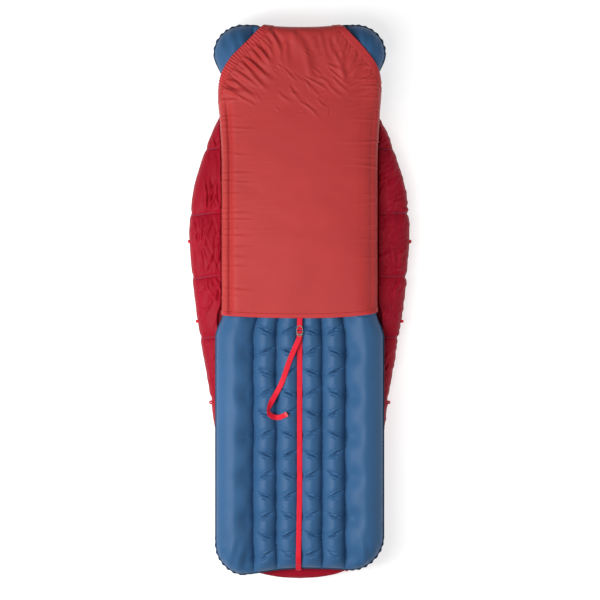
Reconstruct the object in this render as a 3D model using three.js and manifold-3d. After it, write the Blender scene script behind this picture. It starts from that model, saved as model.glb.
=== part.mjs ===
// A tapered sleeping bag lying face down, with an inflatable pad held on its underside by a sleeve and a
// strap. Millimetres. +X is to the right seen from above, +Y points to the head, +Z up. The floor is z = 0
// and the origin is the centre of the footprint. The bag's quilted front lies on the floor, the pad on top.
import * as THREE from "three";
import { mergeVertices } from "three/addons/utils/BufferGeometryUtils.js";
import Module from "manifold-3d";

const wasm = await Module();
wasm.setup();

// ---------- driving dimensions ----------
const HALF_LENGTH = 850; // half of the overall length
const FABRIC = 1.2; // a fabric skin, thicker than the cloth itself
const LINING = 0.8; // the lighter cloth inside
const GAP = 0.3; // between pieces that touch
const HAIR = 0.01; // keeps two cut faces out of one plane
const PAST = 60; // how far a block reaches past the face that trims it
const FAR = 2000; // well outside the bag
const NECK_Y = 565; // seam between the body of the bag and its hood
const HOOD_TOP_Y = 815;

// Heights of the bag's layers.
const FRONT_LOFT = 58; // the quilted front, on the floor
const RIM_TOP = 76; // the wall that joins the front to the underside
const SIDE_TOP = 102; // loft of the side quilt beside the pad
const EDGE_ROUND = 20;
const CAVITY_INSET = 60; // width of the rim round the sleeper's space
const TROUGH_HALF = 251; // half width of the flat underside that carries the pad
const SEAM_ALLOWANCE = 5; // how far one layer tucks under the next
const HOOD_BACK_TOP = 78;
const HOOD_BACK_ROUND = 12;
const HOOD_ROOM_TOP = 70; // ceiling of the space for the head
const HOOD_WALL = 34; // width of the padded wall round it
const FACE_HALF = 112; // the face opening, which ends in a half circle
const FACE_TOP_Y = 742;
const COLLAR_WIDTH = 38; // padded tube along the chin edge of the opening
const COLLAR_HEIGHT = 40;
const COLLAR_Z = 36;
const EYELET = { bore: 2.4, rim: 5.2, height: 1.4, y: 622, z: 30 };

// Inflatable pad.
const PAD_BOTTOM = 78.8;
const RAIL_WIDTH = 111; // the two large outer chambers
const RAIL_HEIGHT = 98;
const TUBE_WIDTH = 68; // the four chambers between them
const TUBE_HEIGHT = 84;
const TUBES = 4;
const WEB_HEIGHT = 54; // the pad's thickness at the valley between two chambers
const BEAM_THICK = 0.8; // the cloth wall inside each valley
const BEAM_END = 40; // from the beam's end to the pad's
const PAD_LENGTH = 1676;
const PAD_CORNER = 85;
const PAD_HALF = RAIL_WIDTH + (TUBES * TUBE_WIDTH) / 2;
const PAD_MIDDLE = PAD_BOTTOM + RAIL_HEIGHT / 2;
const PAD_TOP = PAD_BOTTOM + RAIL_HEIGHT;

// Pad sleeve.
const SLEEVE_THICK = 1.5;
const SLEEVE_SLACK = 1.2; // between the pad and the sleeve
const SLEEVE_OPEN_Y = -40; // the hem across the pad
const HEM_WIDTH = 13;
const HEM_THICK = 2.4;
const CORNER_HEM_WIDTH = 25;
const PAD_HEAD_Y = HALF_LENGTH - SLEEVE_THICK - SLEEVE_SLACK;
const PAD_FOOT_Y = PAD_HEAD_Y - PAD_LENGTH;
const SLEEVE_HALF = PAD_HALF + SLEEVE_SLACK + SLEEVE_THICK;
const SLEEVE_TOP = PAD_TOP + SLEEVE_SLACK + SLEEVE_THICK;
const SLEEVE_LOW = RIM_TOP + 0.4;

// Valve under the head end of the left rail: radii and heights.
const VALVE_X = -202;
const VALVE_Y = 800;
const VALVE_BORE = 11.5;
const VALVE_NECK = 18;
const VALVE_FLANGE = 23;
const FLANGE_THICK = 1.4;
const VALVE_HEIGHT = 6;
const CAP_BORE = 6.6;
const CAP_THICK = 2.6;
const PLUG_HEAD = 9;
const PLUG_STEM = 6;
const PLUG_LENGTH = 7;

// Strap and buckle.
const WEBBING_WIDTH = 16;
const WEBBING_THICK = 1.2;
const BUCKLE_Y = -88; // middle of the buckle
const BUCKLE_LENGTH = 34;
const BUCKLE_WIDTH = 23;
const BUCKLE_THICK = 3.4;
const WINDOW_HALF = 8.6; // the opening inside the buckle's oval frame
const BAR = 2.2; // a crossbar of the buckle
const BAR_HALF = 9.4;
const TURN_DROP = 1.2; // how far a webbing turn reaches below its crossbar

// Zip, built along its own Y axis and then turned with the bag's taper.
const ZIP_TOP = new THREE.Vector2(214, 548);
const ZIP_FOOT = new THREE.Vector2(168, -620);
const ZIP_LENGTH = ZIP_TOP.distanceTo(ZIP_FOOT);
const ZIP_TAPE_Z = 14;
const ZIP_TAPE_WIDTH = 13;
const ZIP_TAPE_THICK = 0.8;
const COIL_WIDTH = 2.8;
const COIL_HEIGHT = 3;
const GROOVE_HALF = 14.5; // the valley in the quilt that the zip lies in
const GROOVE_TOP = 20;
const GROOVE_HEAD_ROOM = 9;
const GROOVE_FOOT_ROOM = 24;
const STOP_HALF = 3;
const STOP_LENGTH = 3.2;
const DRAFT_TUBE = { x: -38, halfWidth: 20, halfHeight: 4.6, footEnd: 20, headEnd: 25 };

// A zip slider and its pull.
const SLIDER_HALF = 5.2;
const SLIDER_NOSE = 9; // from its middle to its nose
const SLIDER_TAIL = 8;
const SLIDER_PLATE = 1.4;
const SLIDER_MOUTH = 1.6; // between a plate and the tape
const POST_HALF = 0.6; // the post that parts the two coils
const SLIDER_INSET = 12; // from a stop to the slider beside it
const CROWN_HALF = 5; // the bridge that holds the pull's pin
const CROWN_WIDTH = 2.6;
const CROWN_WALL = 1.6;
const PIN_ROOM = 2.2;
const PULL_THICK = 1.4;
const PULL_LENGTH = 27;
const PULL_HALF = 3.6;
const PULL_WINDOW_HALF = 1.9;

// Loops sewn into the edge seam, which the bag is hung up by.
const LOOP_HALF = 6;
const LOOP_REACH = 7.4;
const LOOP_WALL = 1.6;
const LOOP_HEIGHT = 3;
const LOOP_CORNER = 2.4;
const SIDE_LOOPS_Y = [188, -60, -312];
const FOOT_LOOP = { x: 146, y: -831.9, turn: Math.PI * 0.38 };

// Colours.
const SHELL_RED = 0xa81f33;
const SLEEVE_RED = 0xbf4645;
const STRAP_RED = 0xe0223c;
const PAD_BLUE = 0x40658c;
const BUCKLE_GREY = 0x5b615e;
const LINING_GREY = 0x565c66;
const FILL_WHITE = 0xe9e6dc;

// ---------- tools ----------
const material = (color, roughness = 0.6, metalness = 0) =>
  new THREE.MeshStandardMaterial({ color, roughness, metalness });

const cloth = material(SHELL_RED, 0.45);
const sleeveCloth = material(SLEEVE_RED, 0.5);
const webbing = material(STRAP_RED, 0.7);
const bladder = material(PAD_BLUE, 0.5);
const plastic = material(BUCKLE_GREY, 0.45);
const lining = material(LINING_GREY, 0.6);
const fill = material(FILL_WHITE, 0.95);
const tape = material(SHELL_RED, 0.8);
const zinc = material(BUCKLE_GREY, 0.35, 0.8);

// A closed geometry as a solid that can be joined and cut.
function solid(geometry) {
  const bare = geometry.clone();
  bare.deleteAttribute("normal");
  bare.deleteAttribute("uv");
  const merged = mergeVertices(bare, 1e-3);
  return new wasm.Manifold(
    new wasm.Mesh({
      numProp: 3,
      vertProperties: new Float32Array(merged.attributes.position.array),
      triVerts: new Uint32Array(merged.index.array),
    }),
  );
}

function geometryOf(made) {
  const mesh = made.getMesh();
  const geometry = new THREE.BufferGeometry();
  const positions = new Float32Array(mesh.vertProperties);
  geometry.setAttribute("position", new THREE.BufferAttribute(positions, 3));
  geometry.setIndex(new THREE.BufferAttribute(new Uint32Array(mesh.triVerts), 1));
  geometry.computeVertexNormals();
  return geometry;
}

const group = new THREE.Group();

// Adds one named piece, from a geometry or a solid.
function piece(name, shape, look, parent = group) {
  const geometry = shape.isBufferGeometry ? shape : geometryOf(shape);
  const mesh = new THREE.Mesh(geometry, look.clone());
  mesh.name = name;
  parent.add(mesh);
  return mesh;
}

function box(x0, x1, y0, y1, z0, z1) {
  const geometry = new THREE.BoxGeometry(x1 - x0, y1 - y0, z1 - z0);
  return geometry.translate((x0 + x1) / 2, (y0 + y1) / 2, (z0 + z1) / 2);
}

// A plan outline (x, y) raised from z0 to z1, with its edges rounded inwards by round.
function prism(points, z0, z1, round = 0, segments = 3) {
  const shape = Array.isArray(points) ? new THREE.Shape(points) : points;
  const geometry = new THREE.ExtrudeGeometry(shape, {
    depth: z1 - z0 - 2 * round,
    bevelEnabled: round > 0,
    bevelThickness: round,
    bevelSize: round,
    bevelOffset: -round,
    bevelSegments: segments,
    curveSegments: 8,
  });
  return geometry.translate(0, 0, z0 + round);
}

// A side profile (y, z) drawn from x0 to x1.
function acrossX(points, x0, x1) {
  const shape = new THREE.Shape(points);
  const geometry = new THREE.ExtrudeGeometry(shape, { depth: x1 - x0, bevelEnabled: false });
  const basis = new THREE.Matrix4().makeBasis(
    new THREE.Vector3(0, 1, 0),
    new THREE.Vector3(0, 0, 1),
    new THREE.Vector3(1, 0, 0),
  );
  return geometry.applyMatrix4(basis).translate(x0, 0, 0);
}

// A front profile (x, z) drawn from y0 to y1.
function alongY(points, y0, y1) {
  const shape = new THREE.Shape(points);
  const geometry = new THREE.ExtrudeGeometry(shape, { depth: y1 - y0, bevelEnabled: false });
  const basis = new THREE.Matrix4().makeBasis(
    new THREE.Vector3(1, 0, 0),
    new THREE.Vector3(0, 0, 1),
    new THREE.Vector3(0, -1, 0),
  );
  return geometry.applyMatrix4(basis).translate(0, y1, 0);
}

const v = (x, y) => new THREE.Vector2(x, y);

const SIDES = [
  ["left", -1],
  ["right", 1],
];

// The corners of a rectangle centred on x = 0.
const rectangle = (half, y0, y1) => [v(-half, y0), v(half, y0), v(half, y1), v(-half, y1)];

// A closed outline moved inwards by distance, corner by corner.
function inset(points, distance) {
  const n = points.length;
  return points.map((p, i) => {
    const before = p.clone().sub(points[(i + n - 1) % n]).normalize();
    const after = points[(i + 1) % n].clone().sub(p).normalize();
    const inward = v(-before.y - after.y, before.x + after.x).normalize();
    const lean = Math.max(0.3, inward.dot(v(-before.y, before.x)));
    return p.clone().addScaledVector(inward, distance / lean);
  });
}

// ---------- the bag's plan outline ----------
// Half width of the bag from the middle of the foot to the top of the hood.
const RIGHT_SIDE = [
  [0, -850], [72, -846], [141, -832], [184, -803], [205, -760], [214, -700], [222, -640], [234, -560],
  [248, -480], [261, -403], [283, -254], [303, -143], [320, -31], [333, 80], [341, 180], [342, 230],
  [337, 290], [327, 360], [306, 433], [280, 507], [252, 568], [226, 608], [196, 650], [168, 692],
  [136, 737], [95, 780], [50, 806], [0, HOOD_TOP_Y],
].map(([x, y]) => v(x, y));

const OUTLINE = [
  ...RIGHT_SIDE,
  ...RIGHT_SIDE.slice(1, -1)
    .reverse()
    .map((p) => v(-p.x, p.y)),
];

// Half width of the outline at one y.
function halfWidth(y) {
  const i = RIGHT_SIDE.findIndex((p) => p.y >= y);
  const [a, b] = [RIGHT_SIDE[i - 1], RIGHT_SIDE[i]];
  return a.x + ((b.x - a.x) * (y - a.y)) / (b.y - a.y);
}

const bodySpace = (low, high) => solid(box(-FAR, FAR, -FAR, NECK_Y - GAP / 2, low, high));
const hoodSpace = (low, high) => solid(box(-FAR, FAR, NECK_Y + GAP / 2, FAR, low, high));

// ---------- quilted front: shell, insulation, lining ----------
const zipGroup = new THREE.Group();
zipGroup.position.set(ZIP_TOP.x, ZIP_TOP.y, 0);
zipGroup.rotation.z = -Math.atan2(ZIP_TOP.x - ZIP_FOOT.x, ZIP_TOP.y - ZIP_FOOT.y);
zipGroup.updateMatrix();

// The valley in the front quilt that the zip lies in, grown all round by margin.
function groove(margin) {
  const half = GROOVE_HALF + margin;
  const foot = -ZIP_LENGTH - GROOVE_FOOT_ROOM - margin;
  const valley = box(-half, half, foot, GROOVE_HEAD_ROOM + margin, -PAST, GROOVE_TOP + margin);
  return solid(valley.applyMatrix4(zipGroup.matrix));
}

// The quilt on the floor, moved inwards by margin on every side but its top.
function slabFromFloor(margin, top) {
  const rounded = prism(inset(OUTLINE, margin), margin, FRONT_LOFT + PAST, EDGE_ROUND);
  return solid(rounded).intersect(bodySpace(-PAST, top)).subtract(groove(margin));
}

function buildFront() {
  const shortOfNeck = (margin) => solid(box(-FAR, FAR, -FAR, NECK_Y - margin, -PAST, FAR));
  const outer = slabFromFloor(HAIR, FRONT_LOFT);
  const hollow = slabFromFloor(FABRIC, FRONT_LOFT + EDGE_ROUND).intersect(shortOfNeck(FABRIC));
  piece("front_shell", outer.subtract(hollow), cloth);
  const batt = slabFromFloor(FABRIC + GAP, FRONT_LOFT).intersect(shortOfNeck(FABRIC + GAP));
  piece("front_insulation", batt, fill);
  const low = FRONT_LOFT + GAP;
  const sheet = solid(prism(inset(OUTLINE, CAVITY_INSET + 2), low, low + LINING));
  piece("front_lining", sheet.intersect(bodySpace(0, FAR)), lining);
}

// ---------- side quilts, which rise from the front's edge to the underside ----------
function sideSolid(margin) {
  const top = SIDE_TOP - margin;
  const slab = solid(prism(inset(OUTLINE, margin + HAIR), -EDGE_ROUND, top, EDGE_ROUND));
  const reach = TROUGH_HALF + margin;
  const trough = solid(box(-reach, reach, -FAR, FAR, RIM_TOP - margin, FAR));
  return slab.intersect(bodySpace(FRONT_LOFT + GAP, FAR)).subtract(trough);
}

function buildSides() {
  const cavity = solid(prism(inset(OUTLINE, CAVITY_INSET), 0, RIM_TOP + 1));
  const whole = sideSolid(0).subtract(cavity);
  // The hollow reaches past the seam and the cavity, so the skin is open where it meets the other layers.
  const tucked = inset(OUTLINE, CAVITY_INSET + SEAM_ALLOWANCE);
  const hollow = sideSolid(FABRIC).subtract(solid(prism(tucked, 0, RIM_TOP - FABRIC - HAIR)));
  const skin = whole.subtract(hollow);
  const besideCavity = solid(prism(inset(OUTLINE, CAVITY_INSET - GAP), 0, RIM_TOP));
  const batt = sideSolid(FABRIC + GAP).subtract(besideCavity);
  for (const [side, x0, x1] of [
    ["left", -FAR, -GAP / 2],
    ["right", GAP / 2, FAR],
  ]) {
    const half = solid(box(x0, x1, -FAR, FAR, 0, FAR));
    piece(`side_shell_${side}`, skin.intersect(half), cloth);
    piece(`side_insulation_${side}`, batt.intersect(half), fill);
  }
}

// ---------- the thin underside that the pad lies on ----------
function buildUnderside() {
  const plan = inset(OUTLINE, SEAM_ALLOWANCE);
  const reach = TROUGH_HALF - 3;
  const between = solid(box(-reach, reach, -FAR, NECK_Y - GAP, 0, FAR));
  const lower = RIM_TOP + GAP;
  const upper = lower + LINING + GAP;
  piece("underside_lining", solid(prism(plan, lower, lower + LINING)).intersect(between), lining);
  piece("underside_shell", solid(prism(plan, upper, upper + 1)).intersect(between), cloth);
}

// ---------- hood: a padded rim round the face opening, and a padded back ----------
// The face opening, widened by margin.
function faceHole(margin) {
  const half = FACE_HALF + margin;
  const shape = new THREE.Shape();
  shape.moveTo(-half, NECK_Y - PAST);
  shape.lineTo(half, NECK_Y - PAST);
  shape.lineTo(half, FACE_TOP_Y - FACE_HALF);
  shape.absarc(0, FACE_TOP_Y - FACE_HALF, half, 0, Math.PI);
  return shape;
}

function hoodRim(margin) {
  const plan = prism(inset(OUTLINE, margin + HAIR), margin, FRONT_LOFT + PAST, EDGE_ROUND);
  const near = solid(box(-FAR, FAR, NECK_Y + GAP / 2 + margin, FAR, -PAST, FRONT_LOFT));
  return solid(plan).intersect(near).subtract(solid(prism(faceHole(margin), -PAST, FAR)));
}

function hoodBack(margin) {
  const plan = prism(inset(OUTLINE, margin + HAIR), 0, HOOD_BACK_TOP - margin, HOOD_BACK_ROUND);
  return solid(plan).intersect(hoodSpace(FRONT_LOFT + GAP, FAR));
}

// Room for the head, open to the sleeper's space at the neck.
function hoodRoom() {
  return solid(prism(inset(OUTLINE, HOOD_WALL), 0, HOOD_ROOM_TOP));
}

function buildHood() {
  // Cloth on the floor side and the walls, open above, where the fill meets the hood's back.
  const rimHollow = hoodRim(FABRIC).add(hoodRim(FABRIC).translate(0, 0, SEAM_ALLOWANCE));
  piece("hood_rim_shell", hoodRim(0).subtract(rimHollow), cloth);
  piece("hood_rim_insulation", hoodRim(FABRIC + GAP), fill);

  const pastNeck = (margin) => solid(box(-FAR, FAR, NECK_Y + margin, FAR, 0, FAR));
  const backHollow = hoodBack(FABRIC).intersect(pastNeck(FABRIC));
  piece("hood_back_shell", hoodBack(0).subtract(backHollow).subtract(hoodRoom()), cloth);
  const backFill = hoodBack(FABRIC + GAP).intersect(pastNeck(FABRIC + GAP));
  piece("hood_back_insulation", backFill.subtract(hoodRoom()), fill);
  const ceilingTop = HOOD_ROOM_TOP - GAP;
  const ceiling = prism(inset(OUTLINE, HOOD_WALL + 2), ceilingTop - LINING, ceilingTop);
  piece("hood_lining", solid(ceiling).intersect(pastNeck(2)), lining);

  // Padded tube along the chin edge of the opening.
  const collar = new THREE.Shape();
  const collarY = NECK_Y + COLLAR_WIDTH / 2 + 2;
  collar.absellipse(collarY, COLLAR_Z, COLLAR_WIDTH / 2, COLLAR_HEIGHT / 2, 0, 2 * Math.PI);
  piece("draft_collar", acrossX(collar.getPoints(4), -FACE_HALF + 3, FACE_HALF - 3), cloth);

  // Eyelets where the hood's drawcord leaves its channel, one on each wall of the opening.
  const { bore, rim, height, y, z } = EYELET;
  const ring = [v(bore, 0), v(rim, 0), v(rim, height), v(bore, height), v(bore, 0)];
  for (const [side, sign] of SIDES) {
    const eyelet = new THREE.LatheGeometry(ring, 12).rotateZ((sign * Math.PI) / 2);
    piece(`hood_eyelet_${side}`, eyelet.translate(sign * (FACE_HALF - GAP), y, z), zinc);
  }
}

// ---------- zip: two tapes with their coils, stops, two sliders with pulls, draft tube ----------
// The slider's two plates are wide apart at its nose, and direction is +1 if the nose points to the head.
function slider(name, y, direction) {
  const nose = SLIDER_NOSE * direction;
  const tail = -SLIDER_TAIL * direction;
  const half = SLIDER_HALF;
  const [noseHalf, tailHalf] = [half - 1, half - SLIDER_MOUTH];
  const plan = [v(-half, 0), v(-tailHalf, tail), v(tailHalf, tail), v(half, 0), v(noseHalf, nose),
    v(-noseHalf, nose)];
  if (direction < 0) plan.reverse();
  const low = ZIP_TAPE_Z - SLIDER_MOUTH;
  const high = ZIP_TAPE_Z + ZIP_TAPE_THICK + SLIDER_MOUTH;
  const into = SLIDER_PLATE * 0.8; // how far the post and the crown are sunk into the plates
  const [post0, post1] = [nose - 3 * direction, nose - 0.4 * direction].sort((a, b) => a - b);
  const underCrown = low - SLIDER_PLATE - PIN_ROOM;
  const [outer, inner] = [CROWN_HALF, CROWN_HALF - CROWN_WALL];
  const foot = low - into;
  const crownLow = underCrown - CROWN_WALL;
  const crown = [v(-outer, foot), v(-outer, crownLow), v(outer, crownLow), v(outer, foot),
    v(inner, foot), v(inner, underCrown), v(-inner, underCrown), v(-inner, foot)];
  const body = solid(prism(plan, high, high + SLIDER_PLATE))
    .add(solid(prism(plan, low - SLIDER_PLATE, low)))
    .add(solid(box(-POST_HALF, POST_HALF, post0, post1, foot, high + into)))
    .add(solid(acrossX(crown, -CROWN_WIDTH / 2, CROWN_WIDTH / 2)));
  piece(`${name}_slider`, body.translate(0, y, 0), zinc, zipGroup);

  // The pull lies towards the foot; its pin is the strip under the crown, in front of its first window.
  const pinZ = low - SLIDER_PLATE - PIN_ROOM / 2;
  const pull = new THREE.Shape(rectangle(PULL_HALF, -PULL_LENGTH, PULL_THICK / 2));
  pull.holes.push(new THREE.Path(rectangle(PULL_WINDOW_HALF, -7, -PULL_THICK / 2)));
  pull.holes.push(new THREE.Path(rectangle(PULL_WINDOW_HALF, -24.5, -19)));
  const flat = prism(pull, pinZ - PULL_THICK / 2, pinZ + PULL_THICK / 2);
  piece(`${name}_pull`, flat.translate(0, y, 0), zinc, zipGroup);
}

function buildZip() {
  const middle = ZIP_TAPE_Z + ZIP_TAPE_THICK / 2;
  for (const [side, sign] of SIDES) {
    const strip = (from, to, y0, y1, half) => {
      const [x0, x1] = [sign * from, sign * to].sort((a, b) => a - b);
      return box(x0, x1, y0, y1, middle - half, middle + half);
    };
    const edge = COIL_WIDTH + 0.5;
    const tapeStrip = strip(edge, edge + ZIP_TAPE_WIDTH - COIL_WIDTH, -ZIP_LENGTH, 0, ZIP_TAPE_THICK / 2);
    piece(`zip_tape_${side}`, tapeStrip, tape, zipGroup);
    const coil = strip(0.9, COIL_WIDTH + 0.1, -ZIP_LENGTH + 5, -5, COIL_HEIGHT / 2);
    piece(`zip_coil_${side}`, coil, tape, zipGroup);
  }
  const stop = (y) => {
    const half = STOP_LENGTH / 2;
    return box(-STOP_HALF, STOP_HALF, y - half, y + half, middle - 1.8, middle + 1.8);
  };
  piece("zip_head_stop", stop(-0.4), zinc, zipGroup);
  piece("zip_foot_stop", stop(-ZIP_LENGTH + 0.4), zinc, zipGroup);
  slider("zip_head", -SLIDER_INSET, 1);
  slider("zip_foot", -ZIP_LENGTH + SLIDER_INSET, -1);
  const { x, halfWidth: across, halfHeight: up, footEnd, headEnd } = DRAFT_TUBE;
  const tube = new THREE.Shape();
  tube.absellipse(x, FRONT_LOFT + 7, across, up, 0, 2 * Math.PI);
  piece("draft_tube", alongY(tube.getPoints(3), -ZIP_LENGTH + footEnd, -headEnd), lining, zipGroup);
  group.add(zipGroup);
}

// ---------- loops sewn into the edge seam ----------
// A loop that stands out from (x, y) in the direction of angle.
function loopAt(name, x, y, angle) {
  const bent = LOOP_REACH - LOOP_CORNER;
  const straight = LOOP_HALF - LOOP_CORNER;
  const outer = new THREE.Shape([v(0, -LOOP_HALF), v(bent, -LOOP_HALF), v(LOOP_REACH, -straight),
    v(LOOP_REACH, straight), v(bent, LOOP_HALF), v(0, LOOP_HALF)]);
  const inside = LOOP_REACH - LOOP_WALL - 0.6;
  outer.holes.push(new THREE.Path([v(LOOP_WALL, -straight), v(LOOP_WALL, straight), v(inside - 0.6, straight),
    v(inside, straight - 0.6), v(inside, 0.6 - straight), v(inside - 0.6, -straight)]));
  const loop = piece(name, prism(outer, 0, LOOP_HEIGHT), webbing);
  loop.rotation.z = angle;
  loop.position.set(x, y, FRONT_LOFT - GAP - LOOP_HEIGHT - 0.7);
}

function buildLoops() {
  for (const [i, y] of SIDE_LOOPS_Y.entries()) {
    const reach = Math.max(halfWidth(y - LOOP_HALF), halfWidth(y + LOOP_HALF)) + GAP;
    loopAt(`side_loop_left_${i + 1}`, -reach, y, Math.PI);
    loopAt(`side_loop_right_${i + 1}`, reach, y, 0);
  }
  loopAt("foot_loop_left", -FOOT_LOOP.x, FOOT_LOOP.y, FOOT_LOOP.turn - Math.PI);
  loopAt("foot_loop_right", FOOT_LOOP.x, FOOT_LOOP.y, -FOOT_LOOP.turn);
}

// ---------- inflatable pad ----------
// The chambers' widths from left to right.
const CHAMBERS = [RAIL_WIDTH, ...Array(TUBES).fill(TUBE_WIDTH), RAIL_WIDTH];

// Upper half of the pad's cross-section above its middle, from left to right, moved inwards by margin.
function padCrown(margin) {
  const points = [];
  let left = -PAD_HALF;
  CHAMBERS.forEach((width, i) => {
    const rail = i === 0 || i === CHAMBERS.length - 1;
    const height = (rail ? RAIL_HEIGHT : TUBE_HEIGHT) / 2 - margin;
    const steps = rail ? 8 : 5;
    for (let k = 0; k <= steps; k++) {
      const u = (2 * k) / steps - 1;
      const outside = (i === 0 && u < 0) || (i === CHAMBERS.length - 1 && u > 0);
      const floor = outside ? 0 : WEB_HEIGHT / 2 - margin;
      const arch = Math.sqrt(Math.max(0, 1 - u * u));
      const x = left + (width * (u + 1)) / 2;
      const inside = Math.max(-PAD_HALF + margin, Math.min(PAD_HALF - margin, x));
      if (k < steps || i === CHAMBERS.length - 1) points.push(v(inside, floor + (height - floor) * arch));
    }
    left += width;
  });
  return points;
}

function roundedRectangle(half, y0, y1, radius) {
  const shape = new THREE.Shape();
  shape.moveTo(half - radius, y0);
  shape.absarc(half - radius, y0 + radius, radius, -Math.PI / 2, 0);
  shape.absarc(half - radius, y1 - radius, radius, 0, Math.PI / 2);
  shape.absarc(-half + radius, y1 - radius, radius, Math.PI / 2, Math.PI);
  shape.absarc(-half + radius, y0 + radius, radius, Math.PI, 1.5 * Math.PI);
  return shape;
}

// Half of the pad, above (+1) or below (-1) its middle, and reaching past the middle by reach.
function padHalf(margin, side, reach) {
  const crown = padCrown(margin).map((p) => v(p.x, PAD_MIDDLE + side * p.y));
  const edge = PAD_HALF - margin;
  const profile = [v(-edge, PAD_MIDDLE), ...crown.slice(1, -1), v(edge, PAD_MIDDLE)];
  if (reach > 0) {
    profile.unshift(v(-edge, PAD_MIDDLE - side * reach));
    profile.push(v(edge, PAD_MIDDLE - side * reach));
  }
  const ordered = THREE.ShapeUtils.area(profile) < 0 ? profile.reverse() : profile;
  const bar = solid(alongY(ordered, PAD_FOOT_Y - PAST, PAD_HEAD_Y + PAST));
  const plan = roundedRectangle(edge, PAD_FOOT_Y + margin, PAD_HEAD_Y - margin, PAD_CORNER - margin);
  return bar.intersect(solid(prism(plan, 0, FAR)));
}

function buildPad() {
  const above = solid(box(-FAR, FAR, -FAR, FAR, PAD_MIDDLE + GAP / 2, FAR));
  const below = solid(box(-FAR, FAR, -FAR, FAR, 0, PAD_MIDDLE - GAP / 2));
  const top = padHalf(0, 1, 0).intersect(above).subtract(padHalf(FABRIC, 1, 2));
  const bottom = padHalf(0, -1, 0).intersect(below).subtract(padHalf(FABRIC, -1, 2));
  piece("pad_top_skin", top, bladder);
  piece("pad_bottom_skin", bottom, bladder);

  // The beams that hold the chambers' shape, between the two skins.
  const half = WEB_HEIGHT / 2 - FABRIC - 1;
  const [y0, y1] = [PAD_FOOT_Y + BEAM_END, PAD_HEAD_Y - BEAM_END];
  let x = -PAD_HALF;
  for (let i = 1; i < CHAMBERS.length; i++) {
    x += CHAMBERS[i - 1];
    const [x0, x1] = [x - BEAM_THICK / 2, x + BEAM_THICK / 2];
    piece(`pad_beam_${i}`, box(x0, x1, y0, y1, PAD_MIDDLE - half, PAD_MIDDLE + half), bladder);
  }
}

// A turned piece of the valve, from a closed profile of [radius, z] points.
function turned(profile) {
  const geometry = new THREE.LatheGeometry(profile.map(([radius, z]) => v(radius, z)), 20);
  return solid(geometry.rotateX(Math.PI / 2)).translate(VALVE_X, VALVE_Y, 0);
}

// A base welded to the pad's underside, a hinged cap and a pull-out plug, each closing the one above it.
function buildValve() {
  const roof = PAD_BOTTOM - GAP;
  const neck = roof - VALVE_HEIGHT;
  const brim = roof - FLANGE_THICK;
  piece("valve_base", turned([[VALVE_BORE, roof], [VALVE_BORE, neck], [VALVE_NECK, neck], [VALVE_NECK, brim],
    [VALVE_FLANGE, brim], [VALVE_FLANGE, roof], [VALVE_BORE, roof]]), plastic);
  const capTop = neck - GAP;
  const capLow = capTop - CAP_THICK;
  const disc = turned([[CAP_BORE, capTop], [CAP_BORE, capLow], [VALVE_NECK - 1, capLow],
    [VALVE_NECK, capTop - FLANGE_THICK], [VALVE_NECK, capTop], [CAP_BORE, capTop]]);
  const hinge = box(-VALVE_FLANGE, 2 - VALVE_NECK, -4, 4, capLow + 0.2, capTop - 0.2);
  piece("valve_cap", disc.add(solid(hinge.translate(VALVE_X, VALVE_Y, 0))), plastic);
  const plugTop = capLow - GAP;
  const tip = plugTop + PLUG_LENGTH;
  const plugLow = plugTop - 2;
  piece("valve_plug", turned([[0, plugLow], [PLUG_HEAD, plugLow], [PLUG_HEAD, plugTop], [PLUG_STEM, plugTop],
    [PLUG_STEM, tip - FLANGE_THICK], [PLUG_STEM - 1, tip], [0, tip]]), plastic);
}

// ---------- pad sleeve ----------
// Where the sleeve's head corners are cut away: [x at the head, y at the side], left and right.
const CORNER_CUTS = { left: [-112, 657], right: [124, 688] };
// A cut bows outwards: how far across and how far down it has come, as shares of the whole.
const CUT_BOW = [[0, 0], [0.42, 0.33], [0.78, 0.66], [1, 1]];

// The line of one cut, from the head end outwards, moved into the sleeve by distance.
function cutLine(side, distance) {
  const [headX, sideY] = CORNER_CUTS[side];
  const sign = Math.sign(headX);
  const outer = sign * SLEEVE_HALF;
  const start = v(headX, HALF_LENGTH);
  const span = v(outer - headX, sideY - HALF_LENGTH);
  const line = CUT_BOW.map(([across, down]) => v(start.x + across * span.x, start.y + down * span.y));
  return line.map((p, i) => {
    const lean = i / (line.length - 1);
    return v(p.x - sign * distance * (1.25 - 0.9 * lean), p.y - distance * (0.35 + 0.75 * lean));
  });
}

// Everything on the corner's side of a cut line, as a tall prism.
function cornerSpace(side, distance) {
  const sign = Math.sign(CORNER_CUTS[side][0]);
  const line = cutLine(side, distance);
  const first = line[0];
  const last = line[line.length - 1];
  const points = [v(first.x, FAR), ...line, v(sign * FAR, last.y), v(sign * FAR, FAR)];
  const ordered = THREE.ShapeUtils.area(points) < 0 ? points.reverse() : points;
  return solid(prism(ordered, 0, FAR));
}

// The sleeve's cloth from y0 to the head, as a trough turned over the pad: top, two sides and a head wall.
function sleeveTrough(y0, thick) {
  const outer = solid(box(-SLEEVE_HALF, SLEEVE_HALF, y0, HALF_LENGTH, SLEEVE_LOW, SLEEVE_TOP));
  const [x, z] = [SLEEVE_HALF - thick, SLEEVE_TOP - thick];
  return outer.subtract(solid(box(-x, x, y0 - PAST, HALF_LENGTH - thick, SLEEVE_LOW - PAST, z)));
}

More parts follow.
